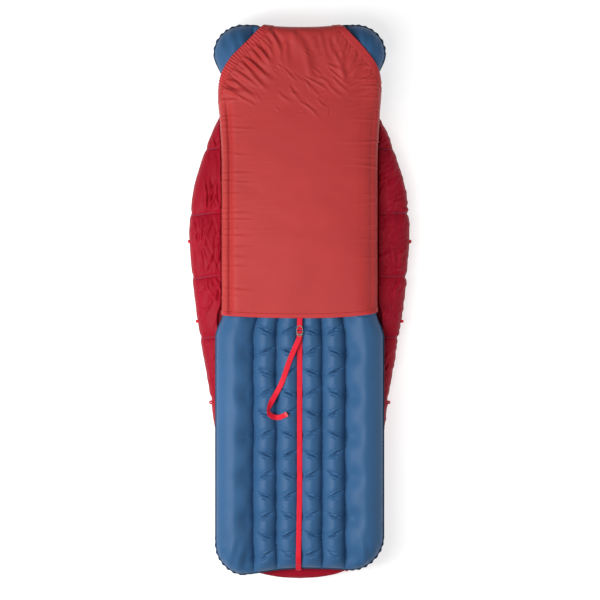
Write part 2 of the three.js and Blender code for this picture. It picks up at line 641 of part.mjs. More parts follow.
function buildSleeve() {
  const whole = sleeveTrough(SLEEVE_OPEN_Y + HEM_WIDTH + GAP, SLEEVE_THICK);
  const gapDistance = CORNER_HEM_WIDTH + GAP;
  const panel = whole.subtract(cornerSpace("left", gapDistance)).subtract(cornerSpace("right", gapDistance));
  piece("sleeve_panel", panel, sleeveCloth);
  for (const side of ["left", "right"]) {
    const band = whole.intersect(cornerSpace(side, CORNER_HEM_WIDTH)).subtract(cornerSpace(side, 0));
    piece(`sleeve_corner_hem_${side}`, band, sleeveCloth);
  }
  const grown = SLEEVE_HALF + HEM_THICK - SLEEVE_THICK;
  const roof = SLEEVE_TOP + HEM_THICK - SLEEVE_THICK;
  const [y0, y1] = [SLEEVE_OPEN_Y, SLEEVE_OPEN_Y + HEM_WIDTH];
  const within = grown - HEM_THICK;
  const band = solid(box(-grown, grown, y0, y1, SLEEVE_LOW, roof));
  const opening = solid(box(-within, within, y0 - PAST, y1 + PAST, 0, roof - HEM_THICK));
  piece("sleeve_hem", band.subtract(opening), sleeveCloth);
}

// ---------- strap over the pad, with its ladder buckle ----------
const TUBE_TOP = PAD_MIDDLE + TUBE_HEIGHT / 2;
const STRAP_Z = TUBE_TOP - 4.6; // the strap lies in the valley between the two middle chambers
const TAIL_Z = TUBE_TOP + 0.4;
const HEAD_BAR_Y = BUCKLE_Y + 5.9; // crossbar held by the short anchor strap
const GRIP_BAR_Y = BUCKLE_Y - 1.6; // crossbar that the long strap turns round
const LIP_BAR_Y = GRIP_BAR_Y - 6.6; // crossbar that lies on the strap's tail
const BUCKLE_Z = TAIL_Z + WEBBING_THICK + GAP; // underside of the buckle's frame, over the strap's tail
const BAR_Z = BUCKLE_Z + BUCKLE_THICK / 2;

// A band of even thickness along a side profile of (y, z) points.
function ribbonProfile(line, thick) {
  const sides = [1, -1].map((side) =>
    line.map((p, i) => {
      const before = line[Math.max(0, i - 1)];
      const after = line[Math.min(line.length - 1, i + 1)];
      const along = after.clone().sub(before).normalize();
      return p.clone().addScaledVector(v(-along.y, along.x), (side * thick) / 2);
    }),
  );
  const points = [...sides[0], ...sides[1].reverse()];
  return THREE.ShapeUtils.area(points) < 0 ? points.reverse() : points;
}

function webbingBand(line) {
  return acrossX(ribbonProfile(line, WEBBING_THICK), -WEBBING_WIDTH / 2, WEBBING_WIDTH / 2);
}

function buildBuckle() {
  const frame = new THREE.Shape();
  frame.absellipse(0, BUCKLE_Y, BUCKLE_WIDTH / 2, BUCKLE_LENGTH / 2, 0, 2 * Math.PI);
  const [head, foot] = [BUCKLE_Y + 13, BUCKLE_Y - 13];
  const [upper, lower] = [BUCKLE_Y + 9.3, BUCKLE_Y - 8];
  const side = [v(6, foot), v(WINDOW_HALF, lower), v(WINDOW_HALF, upper), v(6.2, head)];
  const mirrored = side.map((p) => v(-p.x, p.y)).reverse();
  frame.holes.push(new THREE.Path([...side, ...mirrored]));
  const bar = (y) => {
    const round = new THREE.Shape().absellipse(y, BAR_Z, BAR / 2, BAR / 2, 0, 2 * Math.PI);
    return solid(acrossX(round.getPoints(4), -BAR_HALF, BAR_HALF));
  };
  const oval = solid(prism(frame, BUCKLE_Z, BUCKLE_Z + BUCKLE_THICK));
  piece("ladder_buckle", oval.add(bar(HEAD_BAR_Y)).add(bar(GRIP_BAR_Y)).add(bar(LIP_BAR_Y)), plastic);
}

// A webbing turn over one crossbar, open below.
function turnRound(y) {
  const radius = BAR / 2 + WEBBING_THICK / 2 + 0.6;
  const low = BAR_Z - TURN_DROP;
  const line = [v(y + radius, low)];
  for (let k = 1; k < 6; k++) {
    const angle = (Math.PI * k) / 6;
    line.push(v(y + radius * Math.cos(angle), BAR_Z + radius * Math.sin(angle)));
  }
  line.push(v(y - radius, low));
  return line;
}

function buildStrap() {
  buildBuckle();
  const level = STRAP_Z + WEBBING_THICK / 2;
  piece("strap_anchor_turn", webbingBand(turnRound(HEAD_BAR_Y)), webbing);
  piece("strap_grip_turn", webbingBand(turnRound(GRIP_BAR_Y)), webbing);
  const anchorStart = SLEEVE_OPEN_Y + HEM_WIDTH - 1.5;
  const underHem = PAD_TOP + SLEEVE_SLACK - 1;
  const anchor = [v(anchorStart, underHem), v(BUCKLE_Y + 22, level + 0.1), v(HEAD_BAR_Y - 3, level + 0.1)];
  piece("strap_anchor", webbingBand(anchor), webbing);
  // The long strap, from under the buckle to the pad's foot end and down to the bag's foot seam.
  const drop = PAD_FOOT_Y - 1.6;
  const corner = 1.4;
  const start = v(HEAD_BAR_Y - 5, level);
  const run = [start, v(drop + corner, level), v(drop, level - corner), v(drop, RIM_TOP + 2.5)];
  piece("strap_run", webbingBand(run), webbing);
}

// The strap's free tail: from under the buckle across the pad to its sewn end, in plan.
const TAIL_ROUTE = [[0, -99], [-2, -112], [-9, -128], [-18, -148], [-33, -185], [-45, -220], [-57, -251],
  [-72, -280], [-86, -305], [-94, -324], [-94, -338], [-84, -349], [-70, -353], [-56, -351], [-44, -345]];

function buildTail() {
  const line = TAIL_ROUTE.map(([x, y]) => v(x, y));
  const geometry = prism(ribbonProfile(line, WEBBING_WIDTH), TAIL_Z, TAIL_Z + WEBBING_THICK);
  piece("strap_tail", geometry, webbing);
  const end = line[line.length - 1];
  const along = end.clone().sub(line[line.length - 2]).normalize();
  const fold = [end.clone().addScaledVector(along, GAP), end.clone().addScaledVector(along, 9)];
  const tab = prism(ribbonProfile(fold, WEBBING_WIDTH), TAIL_Z, TAIL_Z + 2 * WEBBING_THICK);
  piece("strap_tail_end", tab, webbing);
}

buildFront();
buildSides();
buildUnderside();
buildHood();
buildZip();
buildLoops();
buildPad();
buildValve();
buildSleeve();
buildStrap();
buildTail();

export default group;
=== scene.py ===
"""A tapered sleeping bag lying face down, with an inflatable pad held on its underside.

The pad lies in a cloth sleeve at the head half, and a webbing strap with a ladder buckle holds its foot half.
Metres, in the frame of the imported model: +Y to the head, +Z up, the floor at z = 0.
Each soft piece is a grid of points whose height over the plan is one function: sleeve_point for the sleeve,
pad_height for the pad, top_height and floor_height for the two sides of the bag.
"""

import math

import bpy
import numpy as np
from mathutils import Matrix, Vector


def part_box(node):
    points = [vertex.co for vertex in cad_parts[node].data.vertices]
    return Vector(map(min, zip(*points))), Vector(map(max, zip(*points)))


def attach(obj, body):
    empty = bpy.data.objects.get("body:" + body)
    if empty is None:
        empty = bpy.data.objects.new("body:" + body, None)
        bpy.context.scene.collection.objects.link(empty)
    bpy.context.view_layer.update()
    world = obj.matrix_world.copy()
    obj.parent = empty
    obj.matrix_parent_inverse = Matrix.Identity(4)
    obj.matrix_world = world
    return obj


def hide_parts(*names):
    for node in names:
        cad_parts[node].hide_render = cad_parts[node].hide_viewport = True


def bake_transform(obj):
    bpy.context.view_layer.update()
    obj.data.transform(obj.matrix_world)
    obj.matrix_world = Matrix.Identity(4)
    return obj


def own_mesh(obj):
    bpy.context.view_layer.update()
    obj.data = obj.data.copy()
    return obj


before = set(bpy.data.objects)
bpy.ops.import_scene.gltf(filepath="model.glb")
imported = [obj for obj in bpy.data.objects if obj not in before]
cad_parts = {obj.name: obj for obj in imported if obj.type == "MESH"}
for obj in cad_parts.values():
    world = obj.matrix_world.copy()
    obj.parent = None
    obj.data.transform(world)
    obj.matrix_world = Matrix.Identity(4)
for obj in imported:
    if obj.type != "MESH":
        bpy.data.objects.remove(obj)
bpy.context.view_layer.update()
MM = 0.001


# ---------------------------------------------------------------- camera, light and floor
CAMERA_PLACE = (0.001, 0.006, 6.17)
LENS, SENSOR, FAR_CLIP = 118.0, 36.0, 100.0
WORLD_STRENGTH = 0.10
KEY_LIGHT = ("key", (-1.45, -0.45, 2.6), (0, -0.1, 0.1), (0.9, 3.0), 104)
FILL_LIGHT = ("fill", (3.2, -0.5, 1.5), (0, 0, 0.1), (1.0, 3.0), 20)
FLOOR_SIDE, FLOOR_DROP = 44, 0.6 * MM
FLOOR_GREY, FLOOR_ROUGHNESS, FLOOR_GLOW = 0.5, 0.8, 0.72


def make_camera():
    data = bpy.data.cameras.new("camera")
    data.lens = LENS
    data.sensor_width = SENSOR
    data.clip_end = FAR_CLIP
    camera = bpy.data.objects.new("camera", data)
    camera.location = CAMERA_PLACE
    bpy.context.scene.collection.objects.link(camera)
    bpy.context.scene.camera = camera


def area_light(name, position, target, size, energy):
    data = bpy.data.lights.new(name, "AREA")
    data.shape = "RECTANGLE"
    data.size, data.size_y = size
    data.energy = energy
    light = bpy.data.objects.new(name, data)
    light.location = position
    direction = np.array(target) - np.array(position)
    yaw = math.atan2(direction[1], direction[0])
    tilt = math.atan2(math.hypot(direction[0], direction[1]), -direction[2])
    light.rotation_euler = (tilt, 0, yaw - math.pi / 2)
    bpy.context.scene.collection.objects.link(light)


def make_stage():
    world = bpy.data.worlds.new("studio")
    world.use_nodes = True
    background = world.node_tree.nodes["Background"]
    background.inputs["Color"].default_value = (1, 1, 1, 1)
    background.inputs["Strength"].default_value = WORLD_STRENGTH
    bpy.context.scene.world = world
    bpy.context.scene.view_settings.view_transform = "Standard"
    area_light(*KEY_LIGHT)
    area_light(*FILL_LIGHT)

    bpy.ops.mesh.primitive_plane_add(size=FLOOR_SIDE, location=(0, 0, -FLOOR_DROP))
    floor = bpy.context.object
    floor.name = "floor"
    material = bpy.data.materials.new("floor_white")
    material.use_nodes = True
    shader = material.node_tree.nodes["Principled BSDF"]
    shader.inputs["Base Color"].default_value = (FLOOR_GREY, FLOOR_GREY, FLOOR_GREY, 1)
    shader.inputs["Roughness"].default_value = FLOOR_ROUGHNESS
    shader.inputs["Emission Color"].default_value = (1, 1, 1, 1)
    shader.inputs["Emission Strength"].default_value = FLOOR_GLOW
    floor.data.materials.append(material)


# ---------------------------------------------------------------- materials
class Look:
    """A procedural material under construction: its nodes, links and shader."""

    def __init__(self, name, roughness, metallic=0.0, specular=0.25):
        self.material = bpy.data.materials.new(name)
        self.material.use_nodes = True
        self.tree = self.material.node_tree
        self.shader = self.tree.nodes["Principled BSDF"]
        self.shader.inputs["Roughness"].default_value = roughness
        self.shader.inputs["Metallic"].default_value = metallic
        self.shader.inputs["Specular IOR Level"].default_value = specular
        self.place = self.tree.nodes.new("ShaderNodeTexCoord").outputs["Object"]

    def link(self, output, target):
        self.tree.links.new(output, target)

    def noise(self, scale, detail=3.0, stretch=(1, 1, 1)):
        mapping = self.tree.nodes.new("ShaderNodeMapping")
        mapping.inputs["Scale"].default_value = stretch
        self.link(self.place, mapping.inputs["Vector"])
        node = self.tree.nodes.new("ShaderNodeTexNoise")
        node.inputs["Scale"].default_value = scale
        node.inputs["Detail"].default_value = detail
        self.link(mapping.outputs["Vector"], node.inputs["Vector"])
        return node.outputs["Fac"]

    def bands(self, pitch, direction):
        node = self.tree.nodes.new("ShaderNodeTexWave")
        node.bands_direction = direction
        node.inputs["Scale"].default_value = 2 * math.pi / (20 * pitch)
        self.link(self.place, node.inputs["Vector"])
        return node.outputs["Fac"]

    def crossed_bands(self, pitch_x, pitch_y):
        node = self.tree.nodes.new("ShaderNodeMath")
        node.operation = "MAXIMUM"
        self.link(self.bands(pitch_x, "X"), node.inputs[0])
        self.link(self.bands(pitch_y, "Y"), node.inputs[1])
        return node.outputs["Value"]

    def paint(self, factor, color, low, high):
        """Base colour that goes with factor; low and high are (factor, share of color)."""
        node = self.tree.nodes.new("ShaderNodeValToRGB")
        for element, (position, share) in zip(node.color_ramp.elements, (low, high)):
            element.position = position
            element.color = (*(min(1.0, channel * share) for channel in color), 1)
        self.link(factor, node.inputs["Fac"])
        self.link(node.outputs["Color"], self.shader.inputs["Base Color"])

    def bump(self, height, distance, strength):
        node = self.tree.nodes.new("ShaderNodeBump")
        node.inputs["Distance"].default_value = distance
        node.inputs["Strength"].default_value = strength
        self.link(height, node.inputs["Height"])
        previous = self.shader.inputs["Normal"]
        if previous.is_linked:
            self.link(previous.links[0].from_socket, node.inputs["Normal"])
        self.link(node.outputs["Normal"], self.shader.inputs["Normal"])


def cloth(
    name, color, roughness, weave=0.6, variation=0.1, sheen=0.2, crinkle=0.4, blotch=9.0, specular=0.25
):
    """Woven nylon with a slow colour drift, a crossed weave and fine crinkles; weave and crinkle in mm."""
    look = Look(name, roughness, specular=specular)
    look.paint(look.noise(blotch, 4.0), color, (0.3, 1 - variation), (0.7, 1 + variation))
    look.shader.inputs["Sheen Weight"].default_value = sheen
    look.shader.inputs["Sheen Roughness"].default_value = 0.4
    look.bump(look.crossed_bands(weave * MM, weave * MM), 0.06 * MM, 0.6)
    look.bump(look.noise(60.0, 5.0), crinkle * MM, 0.6)
    return look.material


def webbing_look(name, color):
    """Flat woven webbing: ribs across, with a worn, fuzzy tone."""
    look = Look(name, 0.62)
    look.paint(look.noise(40.0), color, (0.25, 0.86), (0.75, 1.1))
    look.shader.inputs["Sheen Weight"].default_value = 0.06
    look.bump(look.crossed_bands(1.1 * MM, 1.5 * MM), 0.18 * MM, 0.7)
    return look.material


def plastic_look(name, color, roughness=0.42):
    look = Look(name, roughness)
    look.paint(look.noise(120.0), color, (0.3, 0.88), (0.7, 1.12))
    look.bump(look.noise(900.0, 2.0), 0.05 * MM, 0.5)
    return look.material


def metal_look(name, color):
    look = Look(name, 0.38, 0.9, 0.5)
    scratches = look.noise(300.0, 4.0, (1, 12, 1))
    look.paint(scratches, color, (0.3, 0.75), (0.7, 1.2))
    look.bump(scratches, 0.02 * MM, 0.4)
    return look.material


LOOKS = {
    "shell": cloth("shell_nylon", (0.37, 0.008, 0.024), 0.5, sheen=0.02, crinkle=0.5, specular=0.09),
    "sleeve": cloth("sleeve_nylon", (0.50, 0.045, 0.044), 0.48, 0.6, 0.05, 0.03, 0.35, specular=0.13),
    "hem": cloth("sleeve_hem_nylon", (0.54, 0.042, 0.044), 0.5, 0.6, 0.07, 0.04, 0.5, specular=0.15),
    "pad": cloth("pad_polyester", (0.039, 0.120, 0.262), 0.46, 0.8, 0.06, 0.03, 0.15, 5.0, 0.17),
    # The weld's colour, darker than the pad's, is painted shade: the flange's look where it lies in shade on
    # the pad's right side and foot end.
    "weld": cloth("pad_weld_painted_shade", (0.020, 0.055, 0.115), 0.5, 0.8, 0.15, 0.05, 0.3),
    "lining": cloth("lining_nylon", (0.09, 0.10, 0.12), 0.5, variation=0.08),
    "webbing": webbing_look("strap_webbing", (0.80, 0.008, 0.032)),
    "webbing_end": webbing_look("strap_end_webbing", (0.80, 0.10, 0.11)),
    "thread": webbing_look("quilting_thread", (0.20, 0.075, 0.14)),
    "hem_thread": webbing_look("hem_thread", (0.62, 0.12, 0.11)),
    "dark_thread": webbing_look("dark_thread", (0.28, 0.03, 0.04)),
    "tape": webbing_look("zip_tape", (0.33, 0.016, 0.03)),
    "coil": plastic_look("zip_coil", (0.16, 0.02, 0.03), 0.35),
    "buckle": plastic_look("buckle_plastic", (0.22, 0.235, 0.215)),
    "valve": plastic_look("valve_plastic", (0.03, 0.035, 0.045)),
    "metal": metal_look("zip_metal", (0.34, 0.34, 0.35)),
}


# ---------------------------------------------------------------- shaping tools
def smooth(value, low, high):
    """0 below low, 1 above high, and a smooth rise between."""
    t = np.clip((value - low) / (high - low), 0, 1)
    return t * t * (3 - 2 * t)


def hill(distance, width):
    return np.exp(-((distance / width) ** 2))


def squared(wave, power):
    """A sine or cosine made boxier, so that two of them draw a rounded box."""
    return np.sign(wave) * np.abs(wave) ** power


def round_rise(depth, radius):
    """A quarter circle: 0 at no depth and 1 from one radius on."""
    return np.sqrt(np.clip(1 - (1 - np.clip(depth / radius, 0, 1)) ** 2, 0, 1))


def wander(x, y, seed):
    """Smooth repeatable noise from -1 to 1, with features about one unit across."""
    size = 64
    lattice = np.random.RandomState(seed).uniform(-1, 1, (size, size))
    x, y = np.broadcast_arrays(np.asarray(x, float), np.asarray(y, float))
    xi, yi = np.floor(x).astype(int), np.floor(y).astype(int)
    fx, fy = smooth(x - xi, 0, 1), smooth(y - yi, 0, 1)

    def at(dx, dy):
        return lattice[(xi + dx) % size, (yi + dy) % size]

    near = at(0, 0) * (1 - fx) + at(1, 0) * fx
    far = at(0, 1) * (1 - fx) + at(1, 1) * fx
    return near * (1 - fy) + far * fy


def spread(count, gather):
    """Places from -1 to 1 that crowd towards both ends."""
    p = np.linspace(-1, 1, count)
    return (1 - gather) * p + gather * np.sin(math.pi * p / 2)


def soften(values, times=1):
    """Evens out a row of values or points whose two ends stay."""
    for _ in range(times):
        values[1:-1] = (values[:-2] + 2 * values[1:-1] + values[2:]) / 4
    return values


def stroke(x, y, start, end, width):
    """How much a point belongs to a straight crease, and its signed distance across it in widths."""
    dx, dy = end[0] - start[0], end[1] - start[1]
    length = math.hypot(dx, dy)
    along = ((x - start[0]) * dx + (y - start[1]) * dy) / length**2
    across = ((y - start[1]) * dx - (x - start[0]) * dy) / length / width
    return smooth(along, -0.08, 0.3) * (1 - smooth(along, 0.62, 1.08)), across


def unit(vectors):
    return vectors / np.maximum(np.linalg.norm(vectors, axis=-1, keepdims=True), 1e-12)


def along_path(path):
    return unit(np.gradient(path, axis=0))


def along_loop(loop):
    return unit(np.roll(loop, -1, axis=0) - np.roll(loop, 1, axis=0))


def crosswise(forward):
    """Level and upward directions, square to the forward ones."""
    side = unit(np.cross(forward, [0.0, 0.0, 1.0]))
    return side, np.cross(side, forward)


def resample(path, step):
    """Points at even spacing along a polyline."""
    path = np.asarray(path, float)
    lengths = np.concatenate([[0], np.cumsum(np.linalg.norm(np.diff(path, axis=0), axis=1))])
    count = max(2, int(round(lengths[-1] / step)) + 1)
    places = np.linspace(0, lengths[-1], count)
    return np.stack([np.interp(places, lengths, path[:, axis]) for axis in range(path.shape[1])], axis=-1)


def curve_through(points, per_span=8):
    """A smooth line through the points."""
    points = np.asarray(points, float)
    padded = np.vstack([2 * points[0] - points[1], points, 2 * points[-1] - points[-2]])
    line = []
    for i in range(1, len(padded) - 2):
        p0, p1, p2, p3 = padded[i - 1 : i + 3]
        slope, bend, twist = p2 - p0, 2 * p0 - 5 * p1 + 4 * p2 - p3, 3 * p1 - p0 - 3 * p2 + p3
        for t in np.linspace(0, 1, per_span, endpoint=False):
            line.append(0.5 * (2 * p1 + slope * t + bend * t * t + twist * t**3))
    line.append(points[-1])
    return np.array(line)


# ---------------------------------------------------------------- mesh tools
def make_object(name, points, faces, looks, face_looks=None, shade_smooth=True):
    mesh = bpy.data.meshes.new(name)
    mesh.from_pydata(np.asarray(points).tolist(), [], [list(map(int, face)) for face in faces])
    for look in looks:
        mesh.materials.append(look)
    if face_looks is not None:
        mesh.polygons.foreach_set("material_index", np.asarray(face_looks, dtype=np.int32))
    if shade_smooth:
        mesh.polygons.foreach_set("use_smooth", [True] * len(mesh.polygons))
    mesh.update()
    piece = bpy.data.objects.new(name, mesh)
    bpy.context.scene.collection.objects.link(piece)
    return piece


def quads_of(index):
    """The quads of a grid of point numbers."""
    return np.stack([index[:-1, :-1], index[:-1, 1:], index[1:, 1:], index[1:, :-1]], axis=-1).reshape(-1, 4)


def border(rows, columns):
    """The indices round the edge of a grid, anticlockwise."""
    index = np.arange(rows * columns).reshape(rows, columns)
    return np.concatenate([index[0, :-1], index[:-1, -1], index[-1, :0:-1], index[:0:-1, 0]])


def shell(name, upper, lower, looks):
    """A closed piece between two grids of the same size; the lower one has the last of the looks."""
    rows, columns = upper.shape[:2]
    count = rows * columns
    top = quads_of(np.arange(count).reshape(rows, columns))
    bottom = top[:, ::-1] + count
    edge = border(rows, columns)
    after = np.roll(edge, -1)
    walls = np.stack([edge, edge + count, after + count, after], axis=-1)
    points = np.concatenate([upper.reshape(-1, 3), lower.reshape(-1, 3)])
    faces = np.concatenate([top, bottom, walls])
    face_looks = np.zeros(len(faces), dtype=np.int32)
    face_looks[len(top) : len(top) + len(bottom)] = len(looks) - 1
    return make_object(name, points, faces, looks, face_looks)


def over_plan(x, y, z):
    return np.stack([x, y, z], axis=-1)


def loft(name, rings, looks, closed=False):
    """A closed piece through rings of points, with capped ends unless it closes on itself."""
    stations, around = rings.shape[:2]
    index = np.arange(stations * around).reshape(stations, around)
    if closed:
        index = np.vstack([index, index[:1]])
    index = np.hstack([index, index[:, :1]])
    faces = [list(face) for face in quads_of(index)]
    if not closed:
        faces.append(list(range(around))[::-1])
        faces.append(list(range((stations - 1) * around, stations * around)))
    return make_object(name, rings.reshape(-1, 3), faces, looks)


ROUND_STEPS = 3


def rounded_section(width, thick):
    """Points round a flat section with rounded edges: (across, up) pairs."""
    r = thick / 2
    flat = width / 2 - r
    angles = np.linspace(-math.pi / 2, math.pi / 2, ROUND_STEPS + 2)
    half = [(flat + r * math.cos(a), r * math.sin(a)) for a in angles]
    half += [(share * flat, r) for share in (0.5, 0, -0.5)]
    return np.array(half + [(-x, -y) for x, y in half])


def ribbon(name, path, side, width, thick, look):
    """A strip of webbing along a path, whose side vectors point across it."""
    forward = along_path(path)
    side = unit(side - forward * np.sum(side * forward, axis=1, keepdims=True))
    up = np.cross(side, forward)
    section = rounded_section(width, thick)
    rings = path[:, None] + side[:, None] * section[None, :, :1] + up[:, None] * section[None, :, 1:]
    return loft(name, rings, [look])


def tube(name, path, radius, look, around=10, closed=False):
    path = np.asarray(path, float)
    side, up = crosswise(along_loop(path) if closed else along_path(path))
    angles = np.linspace(0, 2 * math.pi, around, endpoint=False)[None, :, None]
    radius = np.broadcast_to(np.asarray(radius, float), (len(path),))[:, None, None]
    rings = path[:, None] + radius * (side[:, None] * np.cos(angles) + up[:, None] * np.sin(angles))
    return loft(name, rings, [look], closed)


def stitches(name, lines, look, pitch, length, radius):
    """Rows of sewn thread along lines of (points, 3), each stitch a small six-sided spindle; sizes in mm."""
    length, radius = length * MM, radius * MM
    points, faces = [], []
    for line in lines:
        line = resample(line, pitch * MM / 2)
        for middle, before, after in zip(line[1:-1:2], line[:-2:2], line[2::2]):
            forward = unit(after - before)
            side, up = crosswise(forward)
            start = len(points)
            points.append(middle - forward * length / 2)
            for along in (-0.28, 0.28):
                for angle in np.arange(6) * math.pi / 3:
                    outward = side * math.cos(angle) + up * math.sin(angle)
                    points.append(middle + forward * length * along + outward * radius)
            points.append(middle + forward * length / 2)
            for a in range(6):
                b = (a + 1) % 6
                faces.append((start, start + 1 + b, start + 1 + a))
                faces.append((start + 1 + a, start + 1 + b, start + 7 + b, start + 7 + a))
                faces.append((start + 13, start + 7 + a, start + 7 + b))
    return make_object(name, points, faces, [look])


def finish_piece(piece, body, slot, *replaced):
    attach(piece, body)
    if replaced:
        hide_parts(*replaced)
    return piece


# ---------------------------------------------------------------- sizes the pad and its sleeve share
PAD_LOW, PAD_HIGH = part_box("pad_bottom_skin")[0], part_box("pad_top_skin")[1]
PAD_MIDDLE = (PAD_LOW[2] + PAD_HIGH[2]) / 2
PAD_HALF = PAD_HIGH[0]
HEAD_END, FOOT_END = PAD_HIGH[1], PAD_LOW[1]

SLEEVE_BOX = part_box("sleeve_panel")
SLEEVE_HALF = SLEEVE_BOX[1][0] - 1.0 * MM
SLEEVE_LOW = SLEEVE_BOX[0][2] + 1.2 * MM
SLEEVE_HEAD = SLEEVE_BOX[1][1] - 1.0 * MM
SLEEVE_TOP = SLEEVE_BOX[1][2] - 0.2 * MM
CLOTH_THICK = 0.7 * MM

# ---------------------------------------------------------------- pad sleeve
BEND_X, BEND_Y = 0.058, 0.052  # how far in from the side and from the head end the cloth starts to turn down
TURN_X, TURN_Y = 0.086, 0.081  # the cloth that each turn takes up
SQUARENESS = 1.9  # above 1 the cloth turns down later and more sharply than an ellipse
WALL = PAD_MIDDLE - SLEEVE_LOW
SIDE_START = SLEEVE_HALF - BEND_X
SIDE_REACH = SIDE_START + TURN_X
SLEEVE_A = SIDE_REACH + WALL
HEAD_START = SLEEVE_HEAD - BEND_Y
HEAD_REACH = HEAD_START + TURN_Y
SLEEVE_L = HEAD_REACH + WALL
SIDE_TUCK = 10 * MM  # how far the sides draw in where the sleeve holds the pad tight
MOUTH_SAG, CROWN = 4.0 * MM, 5.5 * MM
HEAD_BOW, FLAP_TUCK = 6.5 * MM, 30 * MM
HEM_Y, HEM_WIDTH = -0.0487, 12.5 * MM
HEM_FADE = 0.2  # how far along the cloth the hem's bent line still shows
CROWN_HALF, HEAD_BOW_HALF = 0.19, 0.118
TUCKED_SIDES = (0.15, 0.25)  # the sides draw in from the first distance off the middle, fully at the second
GATHER_PITCH, GATHER_HEIGHT, GATHER_REACH = 9.2 * MM, 1.3 * MM, 22 * MM
PUCKER_PITCH, PUCKER_HEIGHT = 6.5 * MM, 0.7 * MM

# The sleeve's cut corners, from its side seam to its head seam: (across, along), measured over the cloth.
LEFT_CUT = [
    (-SLEEVE_A, 0.590), (-0.294, 0.622), (-0.268, 0.652), (-0.250, 0.684), (-0.232, 0.712), (-0.207, 0.747),
    (-0.180, 0.775), (-0.152, 0.802), (-0.128, 0.829), (-0.112, 0.853), (-0.104, 0.880), (-0.100, SLEEVE_L),
]
RIGHT_CUT = [
    (SLEEVE_A, 0.604), (0.296, 0.640), (0.270, 0.672), (0.252, 0.698), (0.233, 0.726), (0.210, 0.756),
    (0.185, 0.786), (0.160, 0.812), (0.140, 0.836), (0.125, 0.857), (0.116, 0.880), (0.112, SLEEVE_L),
]


def turned_down(on):
    """How far down a cloth has turned over an edge, from how far on it is: 0 on top, 1 at the middle."""
    return (1 - np.sqrt(1 - on * on)) ** SQUARENESS


def fold_over(distance, start, span, reach):
    """(how far on, how far down) along a cloth that turns over an edge: down is 0 on top, 1 at the middle."""
    turn = np.clip((distance - start) / (reach - start), 0, 1) * math.pi / 2
    on = np.minimum(distance, start) + span * np.sin(turn)
    down = (1 - np.cos(turn)) ** SQUARENESS + np.maximum(distance - reach, 0) / WALL
    return on, down


def hem_y(a):
    """The line of the hem across the pad."""
    side = a / 0.24
    return HEM_Y + 7.8 * MM * np.minimum(side, 0) ** 2 + 14.5 * MM * np.maximum(side, 0) ** 2.6


def side_tuck(along):
    """How far the sleeve's sides draw in at each distance along it."""
    return SIDE_TUCK * (1 - smooth(along, 0.42, 0.66))


def sleeve_base(a, along):
    """A point of the sleeve's cloth before its folds, from its distances across and along."""
    a, along = np.broadcast_arrays(np.asarray(a, float), np.asarray(along, float))
    x_on, x_down = fold_over(np.abs(a), SIDE_START, BEND_X, SIDE_REACH)
    y_on, y_down = fold_over(along, HEAD_START, BEND_Y, HEAD_REACH)
    middle = 1 - np.minimum(np.abs(a) / CROWN_HALF, 1) ** 2
    sag = MOUTH_SAG * (1 - smooth(along, -0.04, 0.12)) - CROWN * smooth(along, 0.02, 0.2)
    top = SLEEVE_TOP - 1.2 * MM - middle * sag
    z = PAD_MIDDLE + (top - PAD_MIDDLE) * (1 - np.minimum(x_down, 1)) * (1 - np.minimum(y_down, 1))
    z -= WALL * np.maximum(np.maximum(x_down, y_down) - 1, 0)
    y = y_on + hem_y(a) * (1 - smooth(along, 0.0, HEM_FADE))
    y -= HEAD_BOW * smooth(along, 0.72, HEAD_REACH) * (1 - np.clip(a / HEAD_BOW_HALF, -1, 1) ** 2)
    y -= FLAP_TUCK * np.clip(y_down - 1, 0, 1) ** 1.5
    x = np.sign(a) * (x_on - side_tuck(along) * smooth(np.abs(a), *TUCKED_SIDES))
    return over_plan(x, y, z)


def cut_distance(a, along, cut):
    """(distance to a cut line, distance along it) for points of the cloth."""
    cut = np.array(cut)
    steps = np.diff(cut, axis=0)
    lengths = np.linalg.norm(steps, axis=1)
    starts = np.concatenate([[0], np.cumsum(lengths)[:-1]])
    best = np.full(np.shape(a), np.inf)
    place = np.zeros(np.shape(a))
    for (x0, y0), (dx, dy), length, start in zip(cut[:-1], steps, lengths, starts):
        t = np.clip(((a - x0) * dx + (along - y0) * dy) / length**2, 0, 1)
        distance = np.hypot(a - x0 - t * dx, along - y0 - t * dy)
        closer = distance < best
        best = np.where(closer, distance, best)
        place = np.where(closer, start + t * length, place)
    return best, place


